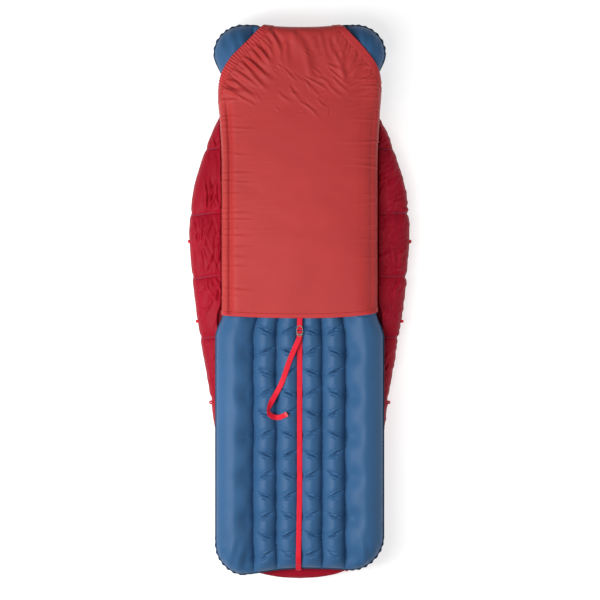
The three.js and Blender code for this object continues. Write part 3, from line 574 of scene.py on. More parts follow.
def folds():
    """The sleeve's folds: (start, end, width, height, bow), all over the cloth."""
    random = np.random.RandomState(4)
    made = []

    def add(start, end, width, height, bow):
        """A fold whose width, height and bow are drawn from these ranges, in millimetres."""
        ranges = (width, height, (-bow, bow))
        made.append((start, end, *(random.uniform(low * MM, high * MM) for low, high in ranges)))

    def heading(start, degrees, reach):
        angle = math.radians(degrees)
        return start[0] + reach * math.cos(angle), start[1] + reach * math.sin(angle)

    left = resample(LEFT_CUT[2:10], 0.0098)[1:]
    for i, (a, along) in enumerate(left):
        f = i / (len(left) - 1)
        angle = -24 - 44 * f + random.uniform(-7, 7)
        reach = random.uniform(0.07, 0.155) * (1.0 - 0.35 * abs(f - 0.4))
        start = (a + 0.020, along - 0.012)
        add(start, heading(start, angle, reach), (3.4, 6.4), (2.2, 4.6), 10)
    right = resample(RIGHT_CUT[2:9], 0.0145)[1:]
    for i, (a, along) in enumerate(right):
        f = i / (len(right) - 1)
        angle = 180 + 22 + 50 * f + random.uniform(-9, 9)
        reach = random.uniform(0.05, 0.105) * (1.2 - 0.6 * f)
        start = (a - 0.018, along - 0.014)
        add(start, heading(start, angle, reach), (3.0, 5.6), (1.4, 3.4), 12)
    for a in np.linspace(-0.062, 0.125, 11):
        top = random.uniform(0.76, 0.835)
        reach = random.uniform(0.07, 0.17)
        start = (a + random.uniform(-0.008, 0.008), top)
        end = (start[0] + random.uniform(0.0, 0.045), top - reach)
        add(start, end, (5, 10), (1.6, 3.6), 14)
    for _ in range(15):
        start = (random.uniform(-0.08, 0.11), random.uniform(0.60, 0.73))
        reach = random.uniform(0.05, 0.10)
        add(start, heading(start, random.uniform(-50, -28), reach), (2.5, 4.5), (0.8, 1.9), 8)
    for _ in range(60):
        start = (random.uniform(-0.20, 0.21), random.uniform(0.57, 0.80))
        lean = random.uniform(-75, -15) if start[0] < 0.06 else random.uniform(195, 260)
        add(start, heading(start, lean, random.uniform(0.018, 0.05)), (1.7, 2.8), (0.4, 1.2), 4)
    for side in (-1, 1):
        for _ in range(26):
            along = random.uniform(0.02, 0.66) ** 0.9
            inner = random.uniform(0.10, 0.20)
            start = (side * random.uniform(0.262, 0.285), along)
            end = (side * inner, along + random.uniform(-0.012, 0.006))
            add(start, end, (2.0, 3.4), (0.6, 1.9), 3)
    return made


FOLDS = folds()


# The elastic in each cut corner: its strength, and where along the cut its gathers fade out.
ELASTIC = [(LEFT_CUT, 1.0, (0.36, 0.42)), (RIGHT_CUT, 0.4, (0.13, 0.20))]
# The hollows just inside the sleeve's sides: (centre, width to its left, width to its right, depth).
SHOULDER_DIPS = [(-0.2250, 0.0115, 0.0160, 13.5 * MM), (0.2360, 0.0340, 0.0200, 11 * MM)]


def shoulder_dip(a, along):
    """The lengthwise hollows in the sleeve just inside its sides: narrow on the left, wide on the right."""
    held = smooth(along, -0.02, 0.03) * (1 - smooth(along, 0.56, 0.66))
    dip = 0
    for centre, left_width, right_width, depth in SHOULDER_DIPS:
        dip = dip + depth * hill(a - centre, np.where(a < centre, left_width, right_width))
    return held * dip


def sleeve_relief(a, along):
    """How far the cloth stands out from its base surface."""
    relief = np.zeros(np.shape(a))
    for start, end, width, height, bow in FOLDS:
        dx, dy = end[0] - start[0], end[1] - start[1]
        length = math.hypot(dx, dy)
        t = ((a - start[0]) * dx + (along - start[1]) * dy) / length**2
        across = ((along - start[1]) * dx - (a - start[0]) * dy) / length - bow * 4 * t * (1 - t)
        on = smooth(t, -0.08, 0.12) * (1 - smooth(t, 0.35, 1.0))
        wide = width * (1 + 0.6 * np.clip(t, 0, 1))
        relief += height * on * (hill(across, wide) - 0.55 * hill(across - 1.7 * wide, 1.2 * wide))
    for cut, strength, elastic_end in ELASTIC:
        distance, place = cut_distance(a, along, cut)
        phase = place * 2 * math.pi / GATHER_PITCH + 2.2 * wander(place / 0.017, 0.5, 21)
        gather = smooth(place, 0.02, 0.07) * (1 - smooth(place, *elastic_end))
        relief += strength * GATHER_HEIGHT * gather * np.sin(phase) * np.exp(-distance / GATHER_REACH)
    wide = smooth(np.abs(a), 0.0, 0.12)
    relief += 0.13 * MM * wander(a / 0.11, along / 0.0062, 31) * (0.4 + 0.6 * wide)
    relief += 0.4 * MM * wander(a / 0.05, along / 0.035, 32)
    relief -= shoulder_dip(a, along)
    puckered = hill(a, 0.035) * hill(along - 0.014, 0.012)
    return relief + PUCKER_HEIGHT * puckered * np.sin(a * 2 * math.pi / PUCKER_PITCH)


def sleeve_point(a, along, lift=0.0):
    """A point of the finished cloth, lifted off it by lift."""
    step = 0.6 * MM
    across = sleeve_base(a + step, along) - sleeve_base(a - step, along)
    onward = sleeve_base(a, along + step) - sleeve_base(a, along - step)
    normal = unit(np.cross(across, onward))
    settled = smooth(along, -0.002, 0.012)
    return sleeve_base(a, along) + normal * (sleeve_relief(a, along) * settled + lift)[..., None]


def cut_limits(along):
    """The cloth's left and right limits at each distance along it."""
    left, right = np.array(LEFT_CUT), np.array(RIGHT_CUT)
    low = np.interp(along, left[:, 1], left[:, 0], left=-SLEEVE_A)
    high = np.interp(along, right[:, 1], right[:, 0], left=SLEEVE_A)
    return low, high


def corner_hem(name, cut, width):
    """A doubled hem along a cut corner, gathered by the elastic in it."""
    on_left = cut[0][0] < 0
    side = 1 if on_left else -1
    line = resample(curve_through(cut), 1.4 * MM)
    forward = along_path(line)
    inward = np.stack([-forward[:, 1], forward[:, 0]], axis=-1)
    inward *= np.sign(inward[:, :1] * side)
    across = np.linspace(-1.2 * MM, width, 16)
    grid = line[:, None] + inward[:, None] * across[None, :, None]
    if on_left:
        grid = grid[:, ::-1]
    else:
        grid = grid[::-1]
    a = np.clip(grid[..., 0], -SLEEVE_A, SLEEVE_A)
    along = np.clip(grid[..., 1], 0, SLEEVE_L)
    outer = sleeve_point(a, along, 3 * CLOTH_THICK)
    inner = sleeve_point(a, along, CLOTH_THICK)
    finish_piece(shell(name, outer, inner, [LOOKS["hem"]]), "bag", "sleeve_fabric", name)
    seam = line + inward * (width - 3 * MM)
    path = sleeve_point(seam[:, 0], np.clip(seam[:, 1], 0, SLEEVE_L), 2.2 * MM)
    stitched = stitches(f"{name}_stitches", [path[6:-6]], LOOKS["dark_thread"], 3.4, 2.4, 0.3)
    finish_piece(stitched, "bag", "sleeve_fabric")


def make_sleeve():
    along = np.concatenate([
        np.linspace(0.0, 0.56, 250),
        np.linspace(0.562, HEAD_START, 130),
        np.linspace(HEAD_START + 0.002, SLEEVE_L, 44),
    ])
    low, high = cut_limits(along)
    t = np.linspace(0, 1, 300)
    a = low[:, None] + (high - low)[:, None] * t[None]
    along = np.repeat(along[:, None], len(t), axis=1)
    outer, inner = sleeve_point(a, along, CLOTH_THICK), sleeve_point(a, along)
    panel = shell("pad_sleeve", outer, inner, [LOOKS["sleeve"]])
    finish_piece(panel, "bag", "sleeve_fabric", "sleeve_panel")

    corner_hem("sleeve_corner_hem_left", LEFT_CUT, 26 * MM)
    corner_hem("sleeve_corner_hem_right", RIGHT_CUT, 19 * MM)

    edge = 0.6 * MM
    across = np.linspace(-SLEEVE_A, SLEEVE_A, 400)
    a, along = np.meshgrid(across, np.linspace(-edge, HEM_WIDTH, 9))
    swell = 0.9 * MM * np.sin(np.clip((along + edge) / (HEM_WIDTH + edge), 0, 1) * math.pi) ** 0.5
    outer, inner = sleeve_point(a, along, 1.8 * MM + swell), sleeve_point(a, along, CLOTH_THICK)
    hem = shell("sleeve_hem_band", outer, inner, [LOOKS["hem"]])
    finish_piece(hem, "bag", "sleeve_fabric", "sleeve_hem")
    line = sleeve_point(across, np.full_like(across, HEM_WIDTH - 2 * MM), 2.2 * MM)
    seam = stitches("sleeve_hem_stitches", [line], LOOKS["hem_thread"], 3.6, 2.6, 0.35)
    finish_piece(seam, "bag", "sleeve_fabric")


# ---------------------------------------------------------------- inflatable pad
RAIL_HALF_WIDTH = 0.0555
RAIL_HEIGHT = PAD_HIGH[2] - PAD_MIDDLE
INNER_HALF = PAD_HALF - 2 * RAIL_HALF_WIDTH
TUBE_COUNT = 4
TUBE_WIDTH = 2 * INNER_HALF / TUBE_COUNT
TUBE_HEIGHT, VALLEY = 42.5 * MM, 9.5 * MM
VALLEYS = [(i - 2) * TUBE_WIDTH for i in range(TUBE_COUNT + 1)]
ARCH_POWER = 1.75  # below 2 the chambers' flanks are straighter and their crests narrower
WIDENING, HEAD_WIDENING = 0.036, 0.056  # how much wider the pad is where the sleeve doesn't squeeze it
SQUEEZE = 0.056
HEAD_CORNER, FOOT_CORNER_LEFT, FOOT_CORNER_RIGHT = 0.085, 0.084, 0.105
PINCH_START, PINCH_PITCH, PINCH_COUNT = 0.728, 0.0631, 25
SKIN = 0.4 * MM
WELD_STEP, WELD_PUCKER, WELD_THICK = 2.4 * MM, 21 * MM, 1.4 * MM
PINCH_DEPTH, RAIL_DENT = 6.5 * MM, 13 * MM
PINCH_REACH_X, PINCH_REACH_Y = 0.09, 0.075
PAD_COLUMNS, PAD_GATHER = 270, 0.45
CORNER_RIPPLE, RIPPLES_PER_RADIAN = 1.6 * MM, 150
LEAST_HEIGHT = 4 * MM  # the sleeve never presses the pad flatter than this

# Creases that run head-wards from a pinch across a chamber: start, end, width and depth.
ARM_STROKES = [
    ((0.016, -0.002), (0.046, 0.0095), 2.3 * MM, 8.4 * MM),
    ((0.028, 0.0075), (0.060, 0.0185), 2.2 * MM, 7.6 * MM),
    ((0.024, -0.0080), (0.045, -0.0010), 1.9 * MM, 5.0 * MM),
]


def squeezed(y):
    """1 where the sleeve holds the pad in, 0 where the pad is free."""
    return smooth(y, -0.11, -0.022) * (1 - smooth(y, 0.67, 0.76))


def pad_width_factor(y):
    free = np.where(y > 0.3, HEAD_WIDENING, WIDENING)
    return 1 + free - (free + SQUEEZE) * squeezed(y)


def end_shift(q, y):
    """How far the pad's ends stand back: its uneven foot, and its head where the sleeve pushes it."""
    foot = 10 * MM * hill(q - 0.02, 0.16) + 3 * MM * smooth(q, 0.08, 0.24)
    foot += 3 * MM * (1 - hill(np.abs(q) - 0.19, 0.05)) - 9 * MM * hill(q + 0.155, 0.075)
    head = 17 * MM * (1 - smooth(np.abs(q), 0.095, 0.128))
    return foot * smooth(-y, 0.6, 0.8) - head * smooth(y, 0.72, 0.80)


def pad_depth(q, y):
    """Distance inside the pad's plan outline, q being x before the pad widens."""
    centre, half_length = (HEAD_END + FOOT_END) / 2, (HEAD_END - FOOT_END) / 2
    radius = np.where(y > 0, HEAD_CORNER, np.where(q > 0, FOOT_CORNER_RIGHT, FOOT_CORNER_LEFT))
    qx = np.abs(q) - PAD_HALF + radius
    qy = np.abs(y - centre) - half_length + radius
    outside = np.hypot(np.maximum(qx, 0), np.maximum(qy, 0))
    return radius - outside - np.minimum(np.maximum(qx, qy), 0)


def pinches():
    """Where the beams' welds draw the skin in: (valley number, y)."""
    for row in range(PINCH_COUNT):
        for valley in range(row % 2, len(VALLEYS), 2):
            yield valley, PINCH_START - row * PINCH_PITCH


def arch(u):
    """Height of a chamber's arch, 1 at its crest and 0 where u is -1 or 1."""
    return np.clip(1 - np.abs(u) ** ARCH_POWER, 0, 1) ** (1 / ARCH_POWER)


def pad_crown(q, y):
    """Height of the pad's upper surface above its middle, before its edges round off."""
    bend = 0.9 * MM * np.sin(y * 2 * math.pi / 0.126) + 1.2 * MM * wander(q / 0.2, y / 0.09, 5)
    shifted = q + bend * (1 - smooth(np.abs(q), INNER_HALF, INNER_HALF + 0.03))
    place = (shifted + INNER_HALF) / TUBE_WIDTH
    u = 2 * (place - np.floor(np.clip(place, 0, TUBE_COUNT - 0.001))) - 1
    tubes = VALLEY + (TUBE_HEIGHT - VALLEY) * arch(u)
    rail_u = (np.abs(shifted) - INNER_HALF) / RAIL_HALF_WIDTH - 1
    rails = VALLEY + (RAIL_HEIGHT - VALLEY) * arch(np.minimum(rail_u, 0))
    return np.where(np.abs(shifted) > INNER_HALF, rails, tubes)


def arm_creases(x, y, side, jitter):
    """The creases on one side of a pinch, each a little different from the next pinch's."""
    drop = np.zeros_like(x)
    for number, (start, end, width, deep) in enumerate(ARM_STROKES):
        shift = 2.2 * MM * jitter[number], 1.6 * MM * jitter[number + 3]
        first = side * (start[0] + shift[0]), start[1] + shift[1]
        last = side * (end[0] + 2 * shift[0]), end[1] + shift[1]
        on, across = stroke(x, y, first, last, width)
        lip = 0.5 * hill(across * side - 1.9, 1.1)
        drop += deep * (1 + 0.35 * jitter[number + 6]) * on * (hill(across, 1) - lip)
    on, across = stroke(x, y, (side * 0.002, -0.001), (side * 0.066, 0.018), 9.5 * MM)
    return drop + 5 * MM * on * hill(across, 1)


def pad_creases(q, y):
    """How far the skin is drawn in by the pinches and the creases that run from them."""
    drop = np.zeros_like(q)
    random = np.random.RandomState(11)
    for valley, py in pinches():
        px = VALLEYS[valley]
        jitter = random.uniform(-1, 1, (2, 12))
        near = (np.abs(y - py) < PINCH_REACH_Y) & (np.abs(q - px) < PINCH_REACH_X)
        if not near.any():
            continue
        x, yy = q[near] - px, y[near] - py
        add = PINCH_DEPTH * hill(x, 0.010) * hill(yy, 0.013)
        for side, own in zip((-1, 1), jitter):
            if abs(px + side * 0.01) > INNER_HALF:
                add += RAIL_DENT * hill(x - side * 0.021, 0.024) * hill(yy + 0.002, 0.029)
            else:
                add += arm_creases(x, yy, side, own)
        drop[near] += add
    return drop


def pad_height(q, y, detail=True):
    depth = pad_depth(q, y)
    near_rail = np.abs(q) > PAD_HALF - RAIL_HALF_WIDTH
    end_depth = np.where(near_rail, depth, np.minimum(depth, RAIL_HALF_WIDTH))
    rim = arch(1 - np.clip(end_depth / RAIL_HALF_WIDTH, 0, 1))
    crown = pad_crown(q, y)
    if detail:
        crown = crown - pad_creases(q, y)
        crown += 0.7 * MM * wander(q / 0.02, y / 0.03, 8) * smooth(depth, 0, 0.02)
    return crown * rim


def pad_top(x, y):
    """Height of the pad's upper surface over the floor."""
    q = x / pad_width_factor(y)
    return PAD_MIDDLE + pad_height(q, y - end_shift(q, y), detail=False)


def corner_ripple(x, y):
    """1 at the pad's rounded corners and 0 along its straight sides."""
    head = smooth(y, HEAD_END - 0.11, HEAD_END - 0.05)
    foot = smooth(-y, -FOOT_END - 0.13, -FOOT_END - 0.06)
    return np.maximum(head, foot) * smooth(np.abs(x), 0.13, 0.19)


def pad_outline(rows):
    """The pad's left and right limits at each row, before it widens."""
    edge = []
    q = np.linspace(0, PAD_HALF, 400)
    for y in rows:
        sides = []
        for sign in (-1, 1):
            inside = pad_depth(sign * q, np.full_like(q, y)) > -1e-6
            sides.append(sign * (q[inside].max() if inside.any() else 0.05))
        edge.append(sides)
    return np.array(edge)


def pad_rows():
    """Where the pad's grid lines lie along it: close together where it shows, and closest at its ends."""
    foot = FOOT_END + 0.5 * MM + np.cumsum(np.linspace(0.4 * MM, 2.4 * MM, 22))
    visible = np.arange(foot[-1] + 2 * MM, -0.045, 2 * MM)
    covered = np.concatenate([np.arange(-0.044, 0.02, 2.5 * MM), np.arange(0.022, 0.74, 12 * MM)])
    head = np.arange(0.745, HEAD_END - 0.03, 2.6 * MM)
    tip = HEAD_END - 0.5 * MM - np.cumsum(np.linspace(0.4 * MM, 2.4 * MM, 20))[::-1]
    ends = [FOOT_END + 0.2 * MM], [HEAD_END - 0.2 * MM]
    return np.unique(np.round(np.concatenate([ends[0], foot, visible, covered, head, tip, ends[1]]), 6))


def sleeve_roof(x, y):
    """Height of the sleeve's cloth over the pad, rising freely where its cut corners leave the pad bare."""
    x = x + np.sign(x) * side_tuck(y) * smooth(np.abs(x), 0.15, 0.24)
    side = np.clip((np.abs(x) - SIDE_START) / BEND_X, 0, 1)
    head = np.clip((y - HEAD_START) / BEND_Y, 0, 1)
    clear = (SLEEVE_TOP - 5.4 * MM - PAD_MIDDLE) * (1 - turned_down(side)) * (1 - turned_down(head))
    low, high = cut_limits(y)
    bare = np.maximum(np.maximum(low - x, x - high), 0)
    open_end = smooth(-y, 0.045, 0.052)
    from_hem = y + 0.05 * (1 - smooth(y, 0.0, 0.3))
    return PAD_MIDDLE + clear - 2.2 * MM - shoulder_dip(x, from_hem) + 1.2 * bare + open_end


def flat_edges(height):
    """The same heights, brought to 0 all round."""
    height = np.maximum(height, 0)
    height[[0, -1]] = 0
    height[:, [0, -1]] = 0
    return height


def make_pad():
    rows = pad_rows()
    edges = pad_outline(rows)
    t = (spread(PAD_COLUMNS, PAD_GATHER) + 1) / 2
    q = edges[:, :1] + (edges[:, 1:] - edges[:, :1]) * t[None]
    y = np.repeat(rows[:, None], len(t), axis=1)
    y_shown = y + end_shift(q, y)
    x = q * pad_width_factor(y)
    ripple = CORNER_RIPPLE * corner_ripple(q, y) * np.sin(np.arctan2(y, q) * RIPPLES_PER_RADIAN)
    height = flat_edges(pad_height(q, y) + ripple * smooth(pad_depth(q, y), 0.002, 0.012))
    roof = np.maximum(sleeve_roof(x, y_shown) - PAD_MIDDLE, LEAST_HEIGHT)
    height = np.where(height > LEAST_HEIGHT, np.minimum(height, roof), height)
    lower = flat_edges(pad_height(q, y, detail=False))
    top = over_plan(x, y_shown, PAD_MIDDLE + height + SKIN)
    bottom = over_plan(x, y_shown, PAD_MIDDLE - lower - SKIN)
    pad = shell("inflatable_pad", top, bottom, [LOOKS["pad"]])
    beams = [f"pad_beam_{i}" for i in range(1, 6)]
    finish_piece(pad, "pad", "pad_fabric", "pad_top_skin", "pad_bottom_skin", *beams)
    weld = make_weld(top)
    for piece in (pad, weld):
        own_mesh(piece)


def make_weld(top):
    """The flat welded edge round the pad, puckered at its corners, in a darker blue that is painted shade."""
    loop = top.reshape(-1, 3)[border(*top.shape[:2])]
    loop = resample(np.vstack([loop, loop[:1]]), WELD_STEP)[:-1]
    loop[:, 2] = PAD_MIDDLE
    for _ in range(6):
        loop = (np.roll(loop, 1, axis=0) + 2 * loop + np.roll(loop, -1, axis=0)) / 4
    forward = along_loop(loop)
    outward = over_plan(forward[:, 1], -forward[:, 0], np.zeros(len(loop)))
    distance = np.arange(len(loop)) * WELD_STEP
    phase = distance * 2 * math.pi / WELD_PUCKER
    corner = corner_ripple(loop[:, 0], loop[:, 1])
    wave = np.sin(phase + 1.5 * wander(distance / 0.05, 0.0, 3))
    width = (4.2 + corner * (0.6 + 1.5 * wave)) * MM * (1 - 0.85 * squeezed(loop[:, 1]))
    inner = loop - outward * 3 * MM
    outer = loop + outward * width[:, None]
    outer[:, 2] += corner * 2.2 * MM * np.cos(phase) + 0.6 * MM * wander(distance / 0.02, 1.0, 4)
    half = np.array([0, 0, WELD_THICK / 2])
    rings = np.stack([inner - half, outer - half * 0.6, outer + half * 0.6, inner + half], axis=1)
    return finish_piece(loft("pad_weld_edge", rings, [LOOKS["weld"]], closed=True), "pad", "pad_fabric")


# ---------------------------------------------------------------- quilted bag
# The bag's right outline from its foot to its hood, in millimetres; the left one mirrors it.
RIGHT_SIDE = [
    (0, -857), (72, -852), (141, -835), (184, -803), (205, -760), (214, -700), (222, -640),
    (234, -560), (248, -480), (261, -403), (283, -254), (303, -143), (320, -31), (333, 80),
    (341, 180), (342, 230), (337, 290), (327, 360), (306, 433), (280, 507), (252, 568),
    (226, 608), (196, 650), (168, 692), (136, 737), (95, 780), (50, 806), (0, 815),
]
SIDE = resample(curve_through(np.array(RIGHT_SIDE) * MM, 10), 2 * MM)
FOOT_TIP, HEAD_TIP, NECK_Y = -0.8567, 0.8147, 0.565
SEAM_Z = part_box("front_shell")[1][2]
UPPER_SEAM_Z = SEAM_Z + 1.2 * MM
TROUGH_HALF, TROUGH_Z = 0.2515, 0.0772  # the flat part of the bag under the pad
CAVITY_Z, HOOD_CAVITY_Z = 0.0762, 0.0695
SIDE_LOFT, SIDE_ROUND, FRONT_ROUND = 0.041, 0.062, 0.075
WING_QUILTING, TROUGH_QUILTING, FRONT_QUILTING = 10.5 * MM, 6 * MM, 8.5 * MM
QUILT_WIDTH = 0.034
ROW_STEP, WING_SHARE = 3.4 * MM, 0.165
BODY_WALL, HOOD_WALL = (0.052, 0.064), (0.026, 0.036)  # where the cavity's roof rises, in from the outline
QUILT_LINES = [-0.684, -0.491, -0.298, -0.109, 0.080, 0.2755, 0.474, 0.668]
ZIP_HEAD, ZIP_FOOT = np.array([0.214, 0.548]), np.array([0.168, -0.620])
ZIP_LENGTH = np.linalg.norm(ZIP_FOOT - ZIP_HEAD)
ZIP_ONWARD = (ZIP_FOOT - ZIP_HEAD) / ZIP_LENGTH
ZIP_GROOVE = 0.0198
ZIP_GROOVE_HALF = (0.0125, 0.021)  # half the groove's width at its roof and at its mouth
WRINKLES_PER_PANEL = 34
WRINKLE_WIDTH, WRINKLE_HEIGHT = (2.4 * MM, 5.8 * MM), (1.2 * MM, 4.2 * MM)
WRINKLE_REACH_X, WRINKLE_REACH_Y = 0.09, 0.13
QUILT_PUCKER, PUCKER_FADE = 2.6 * MM, 14 * MM
PLY_GAP = 0.4 * MM
BODY_COLUMNS, HOOD_COLUMNS = 62, 50


def half_width(y):
    return np.interp(y, SIDE[:, 1], SIDE[:, 0])


def edge_reach(y, side):
    """Half width of the sewn bag, drawn in at the quilting lines and gathered by its edge seam."""
    tuck = sum(hill(y - line, 0.010) for line in QUILT_LINES)
    gathered = 0.8 * MM * wander(y / 0.02, 0.3, 71) - 0.8 * MM
    if side > 0:
        gathered = 3.0 * MM * wander(y / 0.011, 0.6, 72) - 2.2 * MM
    return np.maximum(half_width(y) - 3.5 * MM * tuck + gathered, 2 * MM)


def quilt_bend(x):
    """How far the quilting lines bend towards the foot near the outer edges."""
    return 8 * MM * smooth(-x, 0.25, 0.34) + 1.5 * MM * np.sin(x * 31)


def quilt_phase(x, y):
    """(distance to the nearest quilting line, which line it is)."""
    distance = np.abs(y[..., None] + quilt_bend(x)[..., None] - np.array(QUILT_LINES))
    return distance.min(axis=-1), distance.argmin(axis=-1)


def edge_depth(x, y, loop):
    """Distance of each point from the outline's points."""
    flat = np.stack([x.ravel(), y.ravel()], axis=-1)
    best = np.full(len(flat), np.inf)
    for part in np.array_split(loop, max(1, len(loop) // 40)):
        distance = np.linalg.norm(flat[:, None] - part[None], axis=-1).min(axis=1)
        best = np.minimum(best, distance)
    return best.reshape(x.shape)


def wrinkles(seed):
    """The wings' wrinkles in plan (start, end, width, height): lengthwise at left, slanted at right."""
    random = np.random.RandomState(seed)
    made = []
    for side in (-1, 1):
        for low_line, high_line in zip(QUILT_LINES[:-1], QUILT_LINES[1:]):
            calm = smooth((low_line + high_line) / 2, -0.05, 0.25)
            for _ in range(WRINKLES_PER_PANEL):
                middle = (side * random.uniform(0.235, 0.335), random.uniform(low_line, high_line))
                reach = random.uniform(0.022, 0.05) + 0.055 * calm * random.uniform(0.3, 1)
                lean = math.radians(random.normal(4, 40 - 26 * calm) if side < 0 else random.normal(34, 26))
                half = np.array([math.sin(lean), math.cos(lean)]) * reach / 2
                height = random.uniform(*WRINKLE_HEIGHT) * (1 if random.uniform() < 0.6 else -1)
                width = random.uniform(*WRINKLE_WIDTH)
                made.append((middle - half, middle + half, width, height))
    return made


WRINKLES = wrinkles(12)


def quilt_relief(x, y, seed):
    """Cloth wrinkles of the quilt, quiet at the quilting lines."""
    distance, line = quilt_phase(x, y)
    bent = 0.5 * wander(x / 0.06, y / 0.05, seed)
    lengthwise = wander(x / 0.017 + bent, y / 0.09, seed + 1)
    slanted = wander((x * 0.72 + y * 0.69) / 0.06 + bent, (y * 0.72 - x * 0.69) / 0.017, seed + 2)
    left = smooth(-x, 0.0, 0.1)
    relief = 1.3 * MM * (lengthwise * left + slanted * (1 - left))
    relief += 0.5 * MM * wander(x / 0.012, y / 0.02, seed + 3)
    for start, end, width, height in WRINKLES:
        near = (np.abs(x - start[0]) < WRINKLE_REACH_X) & (np.abs(y - start[1]) < WRINKLE_REACH_Y)
        if near.any():
            on, across = stroke(x[near], y[near], start, end, width)
            relief[near] += height * on * (hill(across, 1) - 0.6 * hill(across - 1.6, 0.9))
    pucker = wander(x / 0.0085, line * 1.7 + 0.5, seed + 4)
    pucker = QUILT_PUCKER * pucker * np.exp(-distance / PUCKER_FADE) * smooth(distance, 0.0, 0.004)
    return relief * smooth(distance, 0.001, 0.018) + pucker


def pillow(x, y, depth, amount):
    """How far a quilting line draws the cloth down, deepest away from the outer seam."""
    distance, _ = quilt_phase(x, y)
    valley = np.exp(-distance / (QUILT_WIDTH * 0.30)) * 0.55 + 0.45 * hill(distance, QUILT_WIDTH)
    notch = 0.20 * hill(distance, 2.8 * MM)
    return amount * (valley * smooth(depth, 0.0, 0.03) + notch * smooth(depth, 0.0, 0.008))


def top_height(x, y, depth):
    """Height of the bag's pad side: its lofted wings, and the flat trough the pad lies in."""
    loft_height = SIDE_LOFT * round_rise(depth, SIDE_ROUND)
    loft_height -= pillow(x, y, depth, WING_QUILTING)
    loft_height += quilt_relief(x, y, 40) * smooth(depth, 0.002, 0.02)
    outside = UPPER_SEAM_Z + np.maximum(loft_height, 0.4 * MM)
    trough = UPPER_SEAM_Z + (TROUGH_Z - UPPER_SEAM_Z) * round_rise(depth, 0.03)
    trough -= 0.3 * pillow(x, y, depth, TROUGH_QUILTING)
    trough += 0.25 * np.minimum(quilt_relief(x, y, 50), 0)
    edge = TROUGH_HALF - (1.3 * MM + side_tuck(y)) * smooth(y, -0.045, 0.0)
    rise = smooth(np.abs(x), edge - 0.5 * MM, edge + 4 * MM)
    return np.where(outside < trough, outside, trough + (outside - trough) * rise)


def zip_offset(x, y):
    """(distance across the zip's line, distance along it from its head end)."""
    dx, dy = x - ZIP_HEAD[0], y - ZIP_HEAD[1]
    return np.abs(dx * ZIP_ONWARD[1] - dy * ZIP_ONWARD[0]), dx * ZIP_ONWARD[0] + dy * ZIP_ONWARD[1]


def floor_height(x, y, depth):
    """Height of the quilted front, which lies on the floor."""
    sunk = SEAM_Z * (1 - round_rise(depth, FRONT_ROUND))
    sunk += pillow(x, y, depth, FRONT_QUILTING)
    sunk += (0.9 * MM + quilt_relief(x, y, 60)) * smooth(depth, 0.005, 0.03)
    sunk = np.maximum(sunk, 0.3 * MM)
    across, along = zip_offset(x, y)
    groove = smooth(along, -0.014, -0.004) * (1 - smooth(along, ZIP_LENGTH + 0.02, ZIP_LENGTH + 0.032))
    return np.maximum(sunk, ZIP_GROOVE * groove * (1 - smooth(across, *ZIP_GROOVE_HALF)))


def quilt_grid(y0, y1, columns):
    """Plan points of the bag between two lines across it: x, y and depth inside the outline."""
    rows = y0 + (y1 - y0) * (spread(int((y1 - y0) / ROW_STEP), 0.35) + 1) / 2
    rows[0], rows[-1] = y0, y1
    rows = np.clip(rows, FOOT_TIP, HEAD_TIP)
    left, right = -edge_reach(rows, -1), edge_reach(rows, 1)
    wing = np.linspace(0, WING_SHARE, columns)
    middle = np.linspace(WING_SHARE, 1 - WING_SHARE, columns)[1:-1]
    t = np.concatenate([wing, middle, 1 - wing[::-1]])
    x = left[:, None] + (right - left)[:, None] * t[None]
    y = np.repeat(rows[:, None], len(t), axis=1)
    tips = SIDE[(SIDE[:, 1] < FOOT_TIP + 0.06) | (SIDE[:, 1] > HEAD_TIP - 0.05)]
    outline = np.concatenate([np.stack([left, rows], -1), np.stack([right, rows], -1), tips, tips * (-1, 1)])
    depth = edge_depth(x, y, outline)
    for row in (0, -1):
        if abs(right[row] - left[row]) < 0.06:
            depth[row] = 0
    for flat_end in (y0, y1):
        if half_width(flat_end) > 0.03:
            depth = np.minimum(depth, np.abs(y - flat_end) * 4 + 0.012)
    depth[:, [0, -1]] = 0
    return x, y, depth


def pad_side_shell(name, x, y, depth, high, cavity_z, wall):
    """The bag's pad side between its upper surface and the cavity under it."""
    inside = SEAM_Z + 0.6 * MM
    under = inside + (cavity_z - inside) * smooth(depth, *wall)
    under = np.minimum(under, high - 0.5 * MM)
    return shell(name, over_plan(x, y, high), over_plan(x, y, under), [LOOKS["shell"], LOOKS["lining"]])


def make_body():
    x, y, depth = quilt_grid(FOOT_TIP, NECK_Y - PLY_GAP, BODY_COLUMNS)
    inner = np.full_like(x, SEAM_Z - PLY_GAP)
    low = np.minimum(floor_height(x, y, depth), inner - PLY_GAP)
    looks = [LOOKS["lining"], LOOKS["shell"]]
    front = shell("quilted_front", over_plan(x, y, inner), over_plan(x, y, low), looks)
    finish_piece(front, "bag", "shell_fabric", "front_shell", "front_insulation", "front_lining")

    high = top_height(x, y, depth)
    back = pad_side_shell("quilted_underside", x, y, depth, high, CAVITY_Z, BODY_WALL)
    sides = ["side_shell_left", "side_shell_right", "side_insulation_left", "side_insulation_right"]
    finish_piece(back, "bag", "shell_fabric", *sides, "underside_shell", "underside_lining")


# ---------------------------------------------------------------- hood
FACE_HALF, FACE_TOP, FACE_LOW = 0.112, 0.630, 0.567
FACE_LEG = 0.14  # the share of the rim's length in each straight leg of the face opening
RIM_CREASE = 0.105
COLLAR_RADIUS, COLLAR_GATHER = 18.5 * MM, 22 * MM


